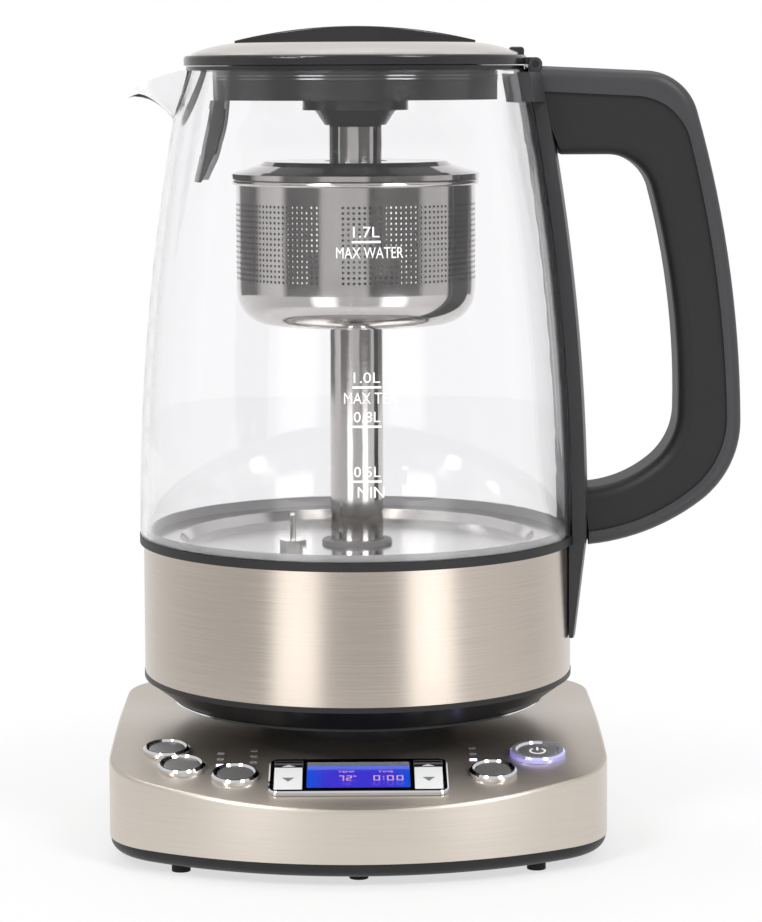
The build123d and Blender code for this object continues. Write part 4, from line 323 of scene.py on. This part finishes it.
def spun_steel():
    """Spun steel of the jug's floor with fine rings round the axis."""
    f = Finish("spun_steel")
    rings = f.noise(f.vector(f.away() * 1500.0, f.z * 400.0, 0.0), 1.0, roughness=0.6)
    tarnish = f.noise(f.place, 30.0, 3.0)
    colour = f.blend(tarnish, (0.66, 0.65, 0.64), (0.78, 0.77, 0.76))
    return f.done(Base_Color=colour, Metallic=1.0, Roughness=0.12 + rings * 0.08, Normal=f.bump(rings, 12))


def plated_steel(name, colour):
    """Plain plated steel, aluminium or brass of small parts."""
    f = Finish(name)
    grain = f.noise(f.place, 900.0)
    cloud = f.noise(f.place, 60.0)
    dark = tuple(c * 0.86 for c in colour)
    return f.done(Base_Color=f.blend(cloud, dark, colour), Metallic=1.0, Roughness=0.28 + grain * 0.15,
                  Normal=f.bump(grain, 10))


def power_ring_glow():
    """Plated ring of the power button, lit blue-violet round its outer edge."""
    f = Finish("power_ring_glow")
    rim = f.smooth(f.away(*POWER_PLACE), POWER_RIM_RADIUS * MM, (POWER_RIM_RADIUS + 1.0) * MM)
    glow = f.blend(rim, (0.02, 0.02, 0.05), (0.34, 0.31, 1.0))
    return f.done(Base_Color=f.blend(rim, (0.80, 0.80, 0.84), (0.62, 0.62, 0.90)), Metallic=0.75,
                  Roughness=0.06 + rim * 0.05, Emission_Color=glow, Emission_Strength=0.35)


def cap_metal():
    """Silver lacquer of the round buttons' caps."""
    f = Finish("cap_metal")
    flake = f.noise(f.place, 3500.0, roughness=0.7)
    return f.done(Base_Color=f.blend(flake, (0.38, 0.377, 0.372), (0.52, 0.515, 0.51)), Metallic=0.75,
                  Roughness=0.30 + flake * 0.12, Normal=f.bump(flake, 6))


def key_chrome():
    """Pale satin front faces of the two rocker keys, with a faint painted glow, and dark plating behind their
    ridges.
    """
    f = Finish("key_chrome")
    ridge = (DISPLAY_Y + KEY_RIDGE_Y) * MM
    behind = f.smooth(f.y, ridge - 0.1 * MM, ridge + 0.4 * MM)
    haze = f.noise(f.place, 700.0)
    # the front faces' emission is a painted glow that brightens them
    return f.done(Base_Color=f.blend(behind, (0.97, 0.97, 0.97), (0.05, 0.05, 0.055)),
                  Metallic=behind * 0.8 + 0.1, Roughness=0.14 + haze * 0.08, Coat_Weight=0.4,
                  Emission_Color=f.blend(behind, (0.16, 0.16, 0.165), (0.0, 0.0, 0.0)), Emission_Strength=1.0)


def woven_mesh():
    """Dark fine woven mesh of the spout filter."""
    f = Finish("woven_mesh")
    warp, weft = f.maths("SINE", f.turn() * 420.0), f.maths("SINE", f.z * 8200.0)
    weave = warp * weft * 0.5 + 0.5
    return f.done(Base_Color=f.blend(weave, (0.05, 0.05, 0.05), (0.22, 0.22, 0.22)), Metallic=0.6,
                  Roughness=0.45 + weave * 0.1, Normal=f.bump(weave, 50))


# ---------------------------------------------------------------- plastic, rubber, glass and print
def moulded(name, colour, roughness, grain_size=0.45, grain_depth=12, specular=0.35):
    """Moulded plastic with an even spark-eroded grain, a trace of flow marks and handling sheen."""
    f = Finish(name)
    grain = f.noise(f.place, 1.0 / (grain_size * MM), roughness=0.6)
    flow = f.noise(f.place, 14.0)
    light = tuple(min(1.0, c * 1.25 + 0.002) for c in colour)
    return f.done(Base_Color=f.blend(flow, colour, light), Roughness=roughness - 0.05 + flow * 0.10,
                  Specular_IOR_Level=specular, Normal=f.bump(grain, grain_depth))


def lower_seal_rubber():
    """Seal under the glass: black outside, pale grey in its inner lip."""
    f = Finish("lower_seal_rubber")
    grain = f.noise(f.place, 1200.0)
    outside = f.smooth(f.away(), SEAL_LIP_RADIUS * MM, (SEAL_LIP_RADIUS + 0.2) * MM)
    colour = f.blend(outside, (0.78, 0.77, 0.78), (0.012, 0.012, 0.012))
    return f.done(Base_Color=colour, Roughness=0.45 + grain * 0.15, Normal=f.bump(grain, 10))


def circuit_board():
    """Green board with copper runs under its lacquer."""
    f = Finish("circuit_board")
    runs = f.node("ShaderNodeTexBrick", {"offset": 0.5},
                  {"Vector": f.place, "Scale": 260.0, "Mortar Size": 0.06}, out="Fac")
    grain = f.noise(f.place, 400.0)
    colour = f.blend(runs, (0.015, 0.11, 0.045), (0.05, 0.22, 0.09))
    return f.done(Base_Color=colour, Roughness=0.32 + grain * 0.12, Normal=f.bump(runs, 40))


def jug_glass():
    """Clear blown glass, very slightly uneven."""
    f = Finish("jug_glass")
    wave = f.stretched(10.0, 10.0, 4.0, detail=1.0)
    return f.done(Base_Color=(0.985, 0.980, 0.988), Transmission_Weight=1.0, IOR=1.46, Roughness=0.0,
                  Normal=f.bump(wave, 600, 0.25))


def clear_plastic():
    """Clear moulded window of the screen."""
    f = Finish("clear_plastic")
    wave = f.noise(f.place, 120.0, 1.0)
    return f.done(Base_Color=(0.96, 0.96, 0.97), Transmission_Weight=1.0, IOR=1.45,
                  Roughness=0.02 + wave * 0.02)


def clear_silicone():
    """Milky translucent silicone."""
    f = Finish("clear_silicone")
    cloud = f.noise(f.place, 90.0)
    return f.done(Base_Color=f.blend(cloud, (0.70, 0.70, 0.69), (0.82, 0.82, 0.81)), Transmission_Weight=0.6,
                  IOR=1.41, Roughness=0.35 + cloud * 0.1)


def white_print():
    """Opaque white print with a faint painted glow."""
    f = Finish("white_print")
    speck = f.noise(f.place, 1600.0)
    # the emission is a painted glow that keeps the print bright
    return f.done(Base_Color=f.blend(speck, (0.86, 0.86, 0.86), (0.95, 0.95, 0.95)),
                  Roughness=0.40 + speck * 0.1, Emission_Color=(1.0, 1.0, 1.0), Emission_Strength=0.25)


def key_print():
    """Dark grey print on the keys' pale faces."""
    f = Finish("key_print")
    speck = f.noise(f.place, 1600.0)
    return f.done(Base_Color=f.blend(speck, (0.20, 0.20, 0.21), (0.28, 0.28, 0.29)),
                  Roughness=0.40 + speck * 0.1)


def screen_glow():
    """Lit blue screen, violet in its middle and bluer round its edge."""
    f = Finish("screen_glow")
    across = f.maths("ABSOLUTE", f.x * (1 / (SCREEN_HALF_WIDTH * MM)))
    back = f.maths("ABSOLUTE", (f.y - DISPLAY_Y * MM) * (1 / (SCREEN_HALF_DEPTH * MM)))
    edge = f.smooth(f.maths("MAXIMUM", across, back), 0.55, 1.0)
    colour = f.blend(edge, (0.060, 0.045, 0.80), (0.008, 0.10, 0.88))
    return f.done(Base_Color=(0.01, 0.01, 0.05), Roughness=0.25 + edge * 0.1, Emission_Strength=1.0,
                  Emission_Color=f.blend(f.looked_at(), (0.004, 0.004, 0.02), colour))


def screen_digits():
    """Pinkish strokes of the screen's digits."""
    f = Finish("screen_digits")
    cell = f.noise(f.place, 2200.0, 1.0)
    return f.done(Base_Color=(0.2, 0.1, 0.2), Roughness=0.4,
                  Emission_Color=f.blend(cell, (0.48, 0.25, 0.42), (0.62, 0.34, 0.50)), Emission_Strength=1.0)


def indicator_plastic():
    """Small lamps: frosted and pale, two of them lit blue-violet."""
    f = Finish("indicator_plastic")
    first, second = (f.away(x, y).below(LAMP_REACH * MM) for x, y in LIT_LAMPS)
    lit = first + second
    frost = f.noise(f.place, 1500.0)
    glow = f.blend(lit, (0.0, 0.0, 0.0), (0.42, 0.36, 1.0))
    colour = f.blend(lit, (0.40, 0.40, 0.41), (0.75, 0.73, 1.0))
    return f.done(Base_Color=colour, Roughness=0.25 + frost * 0.15,
                  Emission_Color=glow, Emission_Strength=4.0)


# ---------------------------------------------------------------- making pieces
def placed(name, data):
    """New object in the scene."""
    made = bpy.data.objects.new(name, data)
    bpy.context.scene.collection.objects.link(made)
    return made


def flat_mesh(name, vertices, faces):
    mesh = bpy.data.meshes.new(name)
    mesh.from_pydata([tuple(v) for v in vertices], [], faces)
    return mesh


def shown(name, mesh, material, body, smooth=True):
    """A finished mesh as a piece: doubles merged, faces outward, riding on its body."""
    work = bmesh.new()
    work.from_mesh(mesh)
    bmesh.ops.remove_doubles(work, verts=work.verts, dist=0.002 * MM)
    bmesh.ops.recalc_face_normals(work, faces=work.faces)
    work.to_mesh(mesh)
    work.free()
    mesh.polygons.foreach_set("use_smooth", [smooth] * len(mesh.polygons))
    mesh.materials.clear()
    mesh.materials.append(material)
    made = placed(name, mesh)
    if smooth:
        mesh.set_sharp_from_angle(angle=math.radians(40))
    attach(made, body)
    return made


def arc_points(centre, radius, first, last, steps):
    """(radius, height) points along an arc, angles in degrees."""
    turns = [math.radians(first + (last - first) * i / steps) for i in range(steps + 1)]
    return [(centre[0] + radius * math.cos(t), centre[1] + radius * math.sin(t)) for t in turns]


def joined(parts):
    """One mesh from several lists of vertices and faces."""
    vertices, faces = [], []
    for more_vertices, more_faces in parts:
        faces += [tuple(i + len(vertices) for i in face) for face in more_faces]
        vertices += more_vertices
    return vertices, faces


def tile_rows_tree():
    """Node tree that sets a small tile in rows round the Z axis, from its index in each row and its row."""
    group = bpy.data.node_groups.new("tile_rows", "GeometryNodeTree")
    inputs = {"Tile": "Object", "Columns": "Int", "Rows": "Int", "Turn": "Float", "Start": "Float",
              "Pitch": "Float", "Material": "Material"}
    for name, kind in inputs.items():
        group.interface.new_socket(name, in_out="INPUT", socket_type="NodeSocket" + kind)
    group.interface.new_socket("Geometry", in_out="OUTPUT", socket_type="NodeSocketGeometry")
    g = Nodes(group)
    given = g.outputs("NodeGroupInput")
    index = g.node("GeometryNodeInputIndex")
    column, row = index % given["Columns"], g.maths("FLOOR", index / given["Columns"])
    points = g.node("GeometryNodePoints", {}, {"Count": given["Columns"] * given["Rows"],
                                               "Position": g.vector(0.0, 0.0, row * given["Pitch"])})
    tile = g.node("GeometryNodeObjectInfo", {}, {"Object": given["Tile"]}, out="Geometry")
    turn = g.vector(0.0, 0.0, given["Start"] + column * given["Turn"])
    rows = g.node("GeometryNodeInstanceOnPoints", {}, {"Points": points, "Instance": tile, "Rotation": turn})
    real = g.node("GeometryNodeRealizeInstances", {}, {"Geometry": rows})
    painted = g.node("GeometryNodeSetMaterial", {}, {"Geometry": real, "Material": given["Material"]})
    g.node("NodeGroupOutput", {}, {"Geometry": painted})
    return group


def grown(group, **values):
    """Mesh that a geometry tree makes from named values."""
    blank = placed("blank", bpy.data.meshes.new("blank"))
    modifier = blank.modifiers.new("tree", "NODES")
    modifier.node_group = group
    for item in group.interface.items_tree:
        if item.in_out == "INPUT" and item.name in values:
            modifier[item.identifier] = values[item.name]
    bpy.context.view_layer.update()
    ready = blank.evaluated_get(bpy.context.evaluated_depsgraph_get())
    mesh = bpy.data.meshes.new_from_object(ready)
    blank.modifiers.clear()
    bpy.data.objects.remove(blank)
    return mesh


def perforated_tile(radius, wall, turn, low, pitch, hole):
    """One hole's share of a perforated wall, at angle 0: an octagonal hole in a curved square."""
    half = math.radians(turn) / 2
    sides = [(1, 0), (1, 1), (0, 1), (-1, 1), (-1, 0), (-1, -1), (0, -1), (1, -1)]
    vertices = []
    for out in (radius, radius - wall):
        edge = [(across * half, low + pitch * (0.5 + up / 2)) for across, up in sides]
        rim = [(hole * math.cos(math.radians(45 * k)) / radius,
                low + pitch / 2 + hole * math.sin(math.radians(45 * k))) for k in range(8)]
        vertices += [mm(out * math.cos(angle), out * math.sin(angle), z) for angle, z in edge + rim]
    faces = []
    for k in range(8):
        n = (k + 1) % 8
        faces += [(k, n, 8 + n, 8 + k), (16 + n, 16 + k, 24 + k, 24 + n), (8 + k, 8 + n, 24 + n, 24 + k)]
    return vertices, faces


def sheet_of(line, start, span, steps):
    """Vertices and faces of an open line of (radius, height) turned round Z; a full turn closes on itself."""
    columns = steps if abs(span - 360.0) < 1e-6 else steps + 1
    turns = [math.radians(start + span * i / steps) for i in range(columns)]
    vertices = [mm(r * math.cos(t), r * math.sin(t), z) for t in turns for r, z in line]
    faces = []
    for column in range(steps):
        here, there = column * len(line), (column + 1) % columns * len(line)
        faces += [(here + i, there + i, there + i + 1, here + i + 1) for i in range(len(line) - 1)]
    return vertices, faces


def make_tea_basket(material):
    """Basket with its fine holes, plain seam strip, rounded foot and rolled bead."""
    inner, flat, roll = BASKET_RADIUS - BASKET_WALL, BASKET_RADIUS - BASKET_CORNER, BEAD_RADIUS - 1.0
    steps = HOLE_COLUMNS + SEAM_COLUMNS
    turn = 360.0 / steps
    knee = (flat, BASKET_FLOOR_Z + BASKET_CORNER)
    foot = [(inner, HOLES_LOW_Z), *arc_points(knee, BASKET_CORNER - BASKET_WALL, 0, -90, 14),
            (SLEEVE_RADIUS, BASKET_FLOOR_Z + BASKET_WALL), (SLEEVE_RADIUS, BASKET_FLOOR_Z),
            *arc_points(knee, BASKET_CORNER, -90, 0, 14), (BASKET_RADIUS, HOLES_LOW_Z)]
    bead = [(BASKET_RADIUS, HOLES_HIGH_Z), (BASKET_RADIUS, BASKET_RIM_Z - 2.0),
            *arc_points((roll, BASKET_RIM_Z - 1.0), 1.0, -80, 80, 8), (inner, BASKET_RIM_Z),
            (inner, HOLES_HIGH_Z)]
    seam_outside = [(BASKET_RADIUS, HOLES_LOW_Z), (BASKET_RADIUS, HOLES_HIGH_Z)]
    seam_inside = [(inner, HOLES_HIGH_Z), (inner, HOLES_LOW_Z)]
    seam_span = SEAM_COLUMNS * turn
    seam_start = SEAM_END - seam_span
    plain = [sheet_of(line, seam_start, 360.0, steps) for line in (foot, bead)]
    plain += [sheet_of(line, seam_start, seam_span, SEAM_COLUMNS) for line in (seam_outside, seam_inside)]
    tile = placed("tile", flat_mesh("tile", *perforated_tile(
        BASKET_RADIUS, BASKET_WALL, turn, HOLES_LOW_Z, HOLE_PITCH, HOLE_RADIUS)))
    rows = grown(tile_rows_tree(), Tile=tile, Columns=HOLE_COLUMNS, Rows=HOLE_ROWS, Turn=math.radians(turn),
                 Start=math.radians(SEAM_END + turn / 2), Pitch=HOLE_PITCH * MM, Material=material)
    bpy.data.objects.remove(tile)
    work = bmesh.new()
    work.from_mesh(rows)
    work.from_mesh(flat_mesh("plain", *joined(plain)))
    mesh = bpy.data.meshes.new("tea_basket_body")
    work.to_mesh(mesh)
    work.free()
    made = shown("tea_basket_fine", mesh, material, "basket")
    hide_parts("tea_basket")


def make_ridge(name, radius, z, tilt, material):
    """Thin ridge round a black piece of the jug; its face leans back by tilt degrees, to the lamps."""
    lean = RIDGE_HALF * math.tan(math.radians(tilt))
    low, high = z - RIDGE_HALF, z + RIDGE_HALF
    line = [(radius, low), (radius + RIDGE_PROUD + lean, low), (radius + RIDGE_PROUD - lean, high),
            (radius - 0.2, high), (radius, low)]
    made = shown(name, flat_mesh(name, *sheet_of(line, 0.0, 360.0, 180)), material, "jug")


def make_ridges():
    """Three plated ridges round the mouth collar, and one on the lip of the jug's cover."""
    plating = polished_steel("dark_plating", (0.17, 0.17, 0.175), 0.08)
    for count, z in enumerate(COLLAR_RIDGES_Z, 1):
        make_ridge(f"collar_ridge_{count}", COLLAR_RADIUS, z, COLLAR_TILT, plating)
    make_ridge("cover_ridge", COVER_RIDGE_RADIUS, COVER_RIDGE_Z, COVER_TILT, ridge_gloss())


# ---------------------------------------------------------------- print, digits and signs
def glass_point(x, z, proud):
    """Point in front of the jug's outer surface, x along its curve from the front."""
    radius = GLASS_FOOT_RADIUS - GLASS_ARC_RADIUS + math.sqrt(GLASS_ARC_RADIUS ** 2 - (z - GLASS_FOOT_Z) ** 2)
    turn = x / radius
    out = radius + proud
    return mm(out * math.sin(turn), -out * math.cos(turn), z)


def panel_point(place_x, place_y, rise, x, y):
    """Point x to the side and y up the slope from a place on the curved panel, and rise above it."""
    back = PANEL_CREST_Y - place_y
    tilt = math.asin(back / PANEL_BEND)
    low = PANEL_TOP_Z - PANEL_BEND + math.sqrt(PANEL_BEND ** 2 - back ** 2)
    return mm(place_x + x, place_y + y * math.cos(tilt) - rise * math.sin(tilt),
              low + y * math.sin(tilt) + rise * math.cos(tilt))


def lettering(text):
    """Flat letters as points and faces, about one unit high, from the left at the baseline."""
    curve = bpy.data.curves.new("letters", "FONT")
    curve.body = text
    curve.size = 1.0
    curve.resolution_u = 3
    holder = placed("letters", curve)
    bpy.context.view_layer.update()
    mesh = bpy.data.meshes.new_from_object(holder.evaluated_get(bpy.context.evaluated_depsgraph_get()))
    points = [(v.co.x, v.co.y) for v in mesh.vertices]
    faces = [tuple(p.vertices) for p in mesh.polygons]
    bpy.data.objects.remove(holder)
    bpy.data.meshes.remove(mesh)
    return points, faces


def fitted(flat, left, low, width, height):
    """Flat shape moved and stretched into a box."""
    points, faces = flat
    xs, ys = [p[0] for p in points], [p[1] for p in points]
    across, up = width / (max(xs) - min(xs)), height / (max(ys) - min(ys))
    return [(left + (x - min(xs)) * across, low + (y - min(ys)) * up) for x, y in points], faces


def bar(left, low, width, height, cuts=1):
    """Flat bar, cut into short lengths so that it can follow a curve."""
    points = [(left + width * i / cuts, low + up) for i in range(cuts + 1) for up in (0.0, height)]
    return points, [(2 * i, 2 * i + 2, 2 * i + 3, 2 * i + 1) for i in range(cuts)]


def loop(centre, inner, outer, start, span, steps):
    """Flat ring or part of one."""
    points = []
    for i in range(steps + 1):
        turn = math.radians(start + span * i / steps)
        points += [(centre[0] + r * math.cos(turn), centre[1] + r * math.sin(turn)) for r in (inner, outer)]
    return points, [(2 * i, 2 * i + 1, 2 * i + 3, 2 * i + 2) for i in range(steps)]


def printed(name, flats, place, proud, thick, material, body):
    """Flat shapes as thin print on a surface; place(x, y, proud) gives a point there."""
    vertices, faces = [], []
    for points, polygons in flats:
        top, under = len(vertices), len(vertices) + len(points)
        vertices += [place(x, y, proud + thick) for x, y in points] + [place(x, y, proud) for x, y in points]
        edges = [edge for polygon in polygons for edge in zip(polygon, polygon[1:] + polygon[:1])]
        inside = {(b, a) for a, b in edges}
        faces += [tuple(top + i for i in polygon) for polygon in polygons]
        faces += [tuple(under + i for i in reversed(polygon)) for polygon in polygons]
        faces += [(top + b, top + a, under + a, under + b) for a, b in edges if (a, b) not in inside]
    made = shown(name, flat_mesh(name, vertices, faces), material, body, smooth=False)


def make_level_marks(material):
    """Litre marks and their words on the glass, in front of the column."""
    flats = []
    for text, line_z, words, width in LEVEL_MARKS:
        flats.append(fitted(lettering(text), MARKS_X - 4.4, line_z + 1.5, width=8.8, height=3.5))
        flats.append(bar(MARKS_X - 4.8, line_z - 0.35, width=9.6, height=0.75, cuts=6))
        if words:
            flats.append(fitted(lettering(words), MARKS_X + 1.2 - width / 2, line_z - 5.4, width, height=3.7))
    printed("level_marks", flats, glass_point, 0.02, 0.07, material, "jug")


def digit(figure, left, width):
    """Seven-segment digit of the screen as flat bars."""
    half = DIGITS_HIGH / 2
    rows = {"a": DIGITS_HIGH - STROKE, "g": half - STROKE / 2, "d": 0.0}
    columns = {"f": (0.0, half), "b": (width - STROKE, half), "e": (0.0, 0.0), "c": (width - STROKE, 0.0)}
    gap = STROKE * 0.18
    flats = []
    for name in SEGMENTS[figure]:
        if name in rows:
            flats.append(bar(left + STROKE * 0.6, DIGITS_LOW + rows[name], width - STROKE * 1.2, STROKE))
        else:
            x, y = columns[name]
            flats.append(bar(left + x, DIGITS_LOW + y + gap, STROKE, half - 2 * gap))
    return flats


def make_screen_marks(material):
    """Digits and small words of the screen."""
    def on_screen(x, y, proud):
        return panel_point(0.0, DISPLAY_Y, LENS_RISE + proud, x, y)

    degree = loop((-1.2, 0.1), 0.28, 0.5, 0, 360, 10)
    colon = [bar(8.2, y, STROKE, STROKE) for y in (-0.9, -2.7)]
    flats = [*digit("7", -6.8, 2.0), *digit("2", -4.2, 2.0), degree, *digit("0", 5.0, 2.3), *colon,
             *digit("0", 9.6, 2.3), *digit("0", 12.8, 2.3)]
    flats.append(fitted(lettering("TEMP"), -6.9, 3.1, 5.6, 1.4))
    flats.append(fitted(lettering("TIME"), 6.6, 3.1, 5.2, 1.4))
    printed("screen_marks", flats, on_screen, 0.01, 0.04, material, "power_base")


def make_power_sign(material):
    """Power sign on its cap."""
    def on_cap(x, y, proud):
        return panel_point(*POWER_PLACE, POWER_CAP_RISE + proud, x, y)

    flats = [loop((0.0, 0.0), 2.2, 2.9, 125, 290, 22), bar(-0.35, 0.6, 0.7, 2.9)]
    printed("power_sign", flats, on_cap, 0.01, 0.05, material, "power_cap")


def make_key_arrows(pale, dark):
    """Up and down arrows on each key's two faces."""
    rear_run, front_run = KEY_HALF - KEY_RIDGE_Y, KEY_HALF + KEY_RIDGE_Y
    arrows = (("up", KEY_RIDGE_Y + rear_run * 0.42, 1, pale),
              ("down", -KEY_HALF + front_run * 0.48, -1, dark))
    for key, key_x in (("temperature_key", -KEY_X), ("timer_key", KEY_X)):
        def on_key(x, y, proud, key_x=key_x):
            share = (y - KEY_RIDGE_Y) / (rear_run if y > KEY_RIDGE_Y else -front_run)
            rise = KEY_RIDGE_RISE + (KEY_END_RISE - KEY_RIDGE_RISE) * share
            return panel_point(key_x, DISPLAY_Y, rise + proud, x, y)

        for name, middle, way, material in arrows:
            low, tip = middle - way * 1.2, middle + way * 1.4
            arrow = ([(-2.1, low), (2.1, low), (0.0, tip)], [(0, 1, 2)])
            printed(f"{key}_{name}_arrow", [arrow], on_key, 0.01, 0.05, material, key)


# ---------------------------------------------------------------- the pieces' finishes
def dress(material, *nodes):
    """Gives CAD nodes a finish."""
    for node in nodes:
        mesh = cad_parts[node].data
        mesh.materials.clear()
        mesh.materials.append(material)


def dress_all():
    """Every solid's finish, apart from the tea basket's, which a finer piece stands for."""
    dress(level_brushed_steel(), "base_shell")
    dress(round_brushed_steel(), "steel_band")
    dress(lid_steel(), "lid_cap")
    dress(polished_steel("polished_steel"), "column_tube", "basket_magnets", "basket_sleeve",
          "temperature_probe")
    dress(polished_steel("lid_polish", (0.62, 0.60, 0.58), 0.05), "basket_lid")
    dress(spun_steel(), "floor_pan")
    dress(moulded("black_satin", (0.013, 0.0125, 0.0135), 0.42), "base_housing", "seat_pedestal", "base_plug",
          "jug_socket", "band_trim_ring", "hinge_pin")
    cover_black = moulded("cover_black", (0.006, 0.006, 0.0065), 0.30, grain_depth=2, specular=0.4)
    dress(cover_black, "jug_base_cover")
    dress(moulded("spine_black", (0.046, 0.044, 0.047), 0.40), "handle_spine", "handle_bracket")
    dress(moulded("grip_black", (0.014, 0.013, 0.0138), 0.48), "handle_grip")
    gloss = moulded("black_gloss", (0.010, 0.010, 0.011), 0.20, grain_depth=3, specular=0.5)
    dress(gloss, "lift_bar", "lid_rim", "lid_plug", "lid_cone", "mouth_collar", "spout_filter_frame")
    dress(moulded("black_rubber", (0.012, 0.012, 0.012), 0.72, 0.8), "base_feet", "cord_inlet")
    dress(lower_seal_rubber(), "lower_seal")
    dress(clear_silicone(), "column_seal", "lid_seal")
    dress(woven_mesh(), "spout_filter_mesh")
    dress(jug_glass(), "glass_jug")
    dress(clear_plastic(), "display_lens")
    dress(polished_steel("bright_trim", (0.84, 0.84, 0.85), 0.06), "display_bezel", "button_rings")
    dress(cap_metal(), "left_rear_button", "left_middle_button", "left_front_button", "right_front_button",
          "power_button")
    dress(key_chrome(), "temperature_rocker", "timer_rocker")
    dress(indicator_plastic(), "indicator_lamps")
    dress(power_ring_glow(), "power_light_ring")
    dress(screen_glow(), "lcd_panel")
    dress(plated_steel("plated_steel", (0.55, 0.55, 0.56)), "base_screws", "rocker_pins", "jug_fasteners",
          "heating_element", "lift_motor", "lead_screw", "magnet_carriage")
    dress(plated_steel("cast_aluminium", (0.68, 0.68, 0.69)), "heat_plate")
    dress(plated_steel("brass", (0.72, 0.52, 0.24)), "plug_contacts")
    dress(circuit_board(), "power_board", "control_board")
    dress(moulded("component_plastic", (0.03, 0.035, 0.05), 0.5), "power_components")
    dress(moulded("pale_plastic", (0.70, 0.69, 0.65), 0.5), "display_carrier", "screw_bearings")


# ---------------------------------------------------------------- studio
def make_world():
    """White backdrop and an even fill. Mirrors see a ring of pale screens and dark gaps, faintly outside the
    glass and fully inside it, where there are low lamps as well."""
    world = bpy.data.worlds.new("studio")
    bpy.context.scene.world = world
    world.use_nodes = True
    w = Nodes(world.node_tree)
    x, y, z = w.axes(w.node("ShaderNodeTexCoord", {}, {}, out="Generated"))
    path = w.outputs("ShaderNodeLightPath")
    inside = path["Transmission Depth"].above(2.5)
    around = w.blend(inside * 0.75 + 0.25, (0.95, 0.95, 0.96), w.ring(x, y, STUDIO_RING))
    above = w.blend(w.smooth(z, 0.10, 0.35), around, (0.72, 0.72, 0.72))
    with_lamps = w.node("ShaderNodeVectorMath", {"operation": "ADD"}, {0: above, 1: w.ring(x, y, LAMP_RING)})
    mirrored = w.blend(inside * z.above(LAMPS_LOW) * z.below(LAMPS_HIGH), above, with_lamps)
    seen = w.blend(path["Glossy Depth"].above(0.5), (1.0, 1.0, 1.0), mirrored)
    colour = w.blend(path["Diffuse Depth"].above(0.5), seen, (0.42, 0.42, 0.42))
    background = w.node("ShaderNodeBackground", {}, {"Color": colour, "Strength": 1.0})
    w.node("ShaderNodeOutputWorld", {}, {"Surface": background})


def make_floor():
    """Pale floor that keeps the object's shadow near it and runs out into the white backdrop; further out it
    has bright streaks that only mirrors see."""
    f = Finish("floor")
    out = f.away()
    colour = f.blend(f.noise(f.place, 40.0), (0.90, 0.90, 0.91), (0.93, 0.93, 0.93))
    matt = f.node("ShaderNodeBsdfPrincipled", {}, {"Base Color": colour, "Roughness": 0.55,
                                                   "Specular IOR Level": 0.2})
    path = f.outputs("ShaderNodeLightPath")
    mirrored = path["Is Glossy Ray"]
    streaks = f.blend(mirrored * f.smooth(out, 0.26, 0.34), (1.0, 1.0, 1.0), f.ring(f.x, f.y, FLOOR_RING))
    white = f.node("ShaderNodeEmission", {}, {"Color": streaks, "Strength": 1.0})
    seen = f.maths("MINIMUM", path["Is Camera Ray"] + mirrored + path["Is Transmission Ray"], 1.0)
    share = (f.smooth(out, 0.11, 0.25) * 0.34 + 0.66) * seen
    both = f.node("ShaderNodeMixShader", {}, {0: share, 1: matt, 2: white})
    f.node("ShaderNodeOutputMaterial", {}, {"Surface": both})
    turns = [2 * math.pi * i / FLOOR_SIDES for i in range(FLOOR_SIDES)]
    edge = [mm(FLOOR_RADIUS * math.cos(t), FLOOR_RADIUS * math.sin(t), 0.0) for t in turns]
    mesh = flat_mesh("floor", edge, [tuple(range(FLOOR_SIDES))])
    mesh.materials.append(f.material)
    floor = placed("floor", mesh)


def softbox(name, azimuth, distance, height, width, tall, power):
    """Rectangular lamp turned to the jug, not seen itself; sizes in millimetres, power in watts."""
    lamp = bpy.data.lights.new(name, "AREA")
    lamp.shape = "RECTANGLE"
    lamp.size, lamp.size_y, lamp.energy = width * MM, tall * MM, power
    holder = placed(name, lamp)
    turn = math.radians(azimuth)
    holder.location = mm(distance * math.sin(turn), -distance * math.cos(turn), height)
    holder.rotation_mode = "QUATERNION"
    holder.rotation_quaternion = (mm(0, 0, LAMP_AIM_Z) - holder.location).to_track_quat("-Z", "Y")
    holder.visible_camera = False


def make_camera():
    """Camera in front, about as high as the lid, looking slightly down."""
    lens = bpy.data.cameras.new("camera")
    lens.lens, lens.sensor_width, lens.sensor_fit, lens.shift_y = CAMERA_LENS, 36.0, "AUTO", CAMERA_SHIFT
    lens.clip_start, lens.clip_end = 0.01, 20.0
    camera = placed("camera", lens)
    down, right, roll = (math.radians(a) for a in (CAMERA_DOWN, CAMERA_RIGHT, CAMERA_ROLL))
    camera.matrix_world = (Matrix.Translation(mm(*CAMERA_PLACE)) @ Matrix.Rotation(-right, 4, "Z")
                           @ Matrix.Rotation(math.pi / 2 - down, 4, "X") @ Matrix.Rotation(roll, 4, "Z"))
    bpy.context.scene.camera = camera


bpy.context.scene.view_settings.view_transform = "Standard"
dress_all()
make_tea_basket(basket_steel())
make_ridges()
print_white = white_print()
make_level_marks(print_white)
make_screen_marks(screen_digits())
make_power_sign(print_white)
make_key_arrows(print_white, key_print())
make_world()
make_floor()
softbox("left_softbox", azimuth=-38.0, distance=1500.0, height=1500.0, width=420.0, tall=1000.0, power=15.0)
softbox("right_softbox", azimuth=42.0, distance=1500.0, height=1500.0, width=420.0, tall=1000.0, power=15.0)
softbox("top_softbox", azimuth=180.0, distance=500.0, height=1700.0, width=1400.0, tall=900.0, power=9.0)
make_camera()
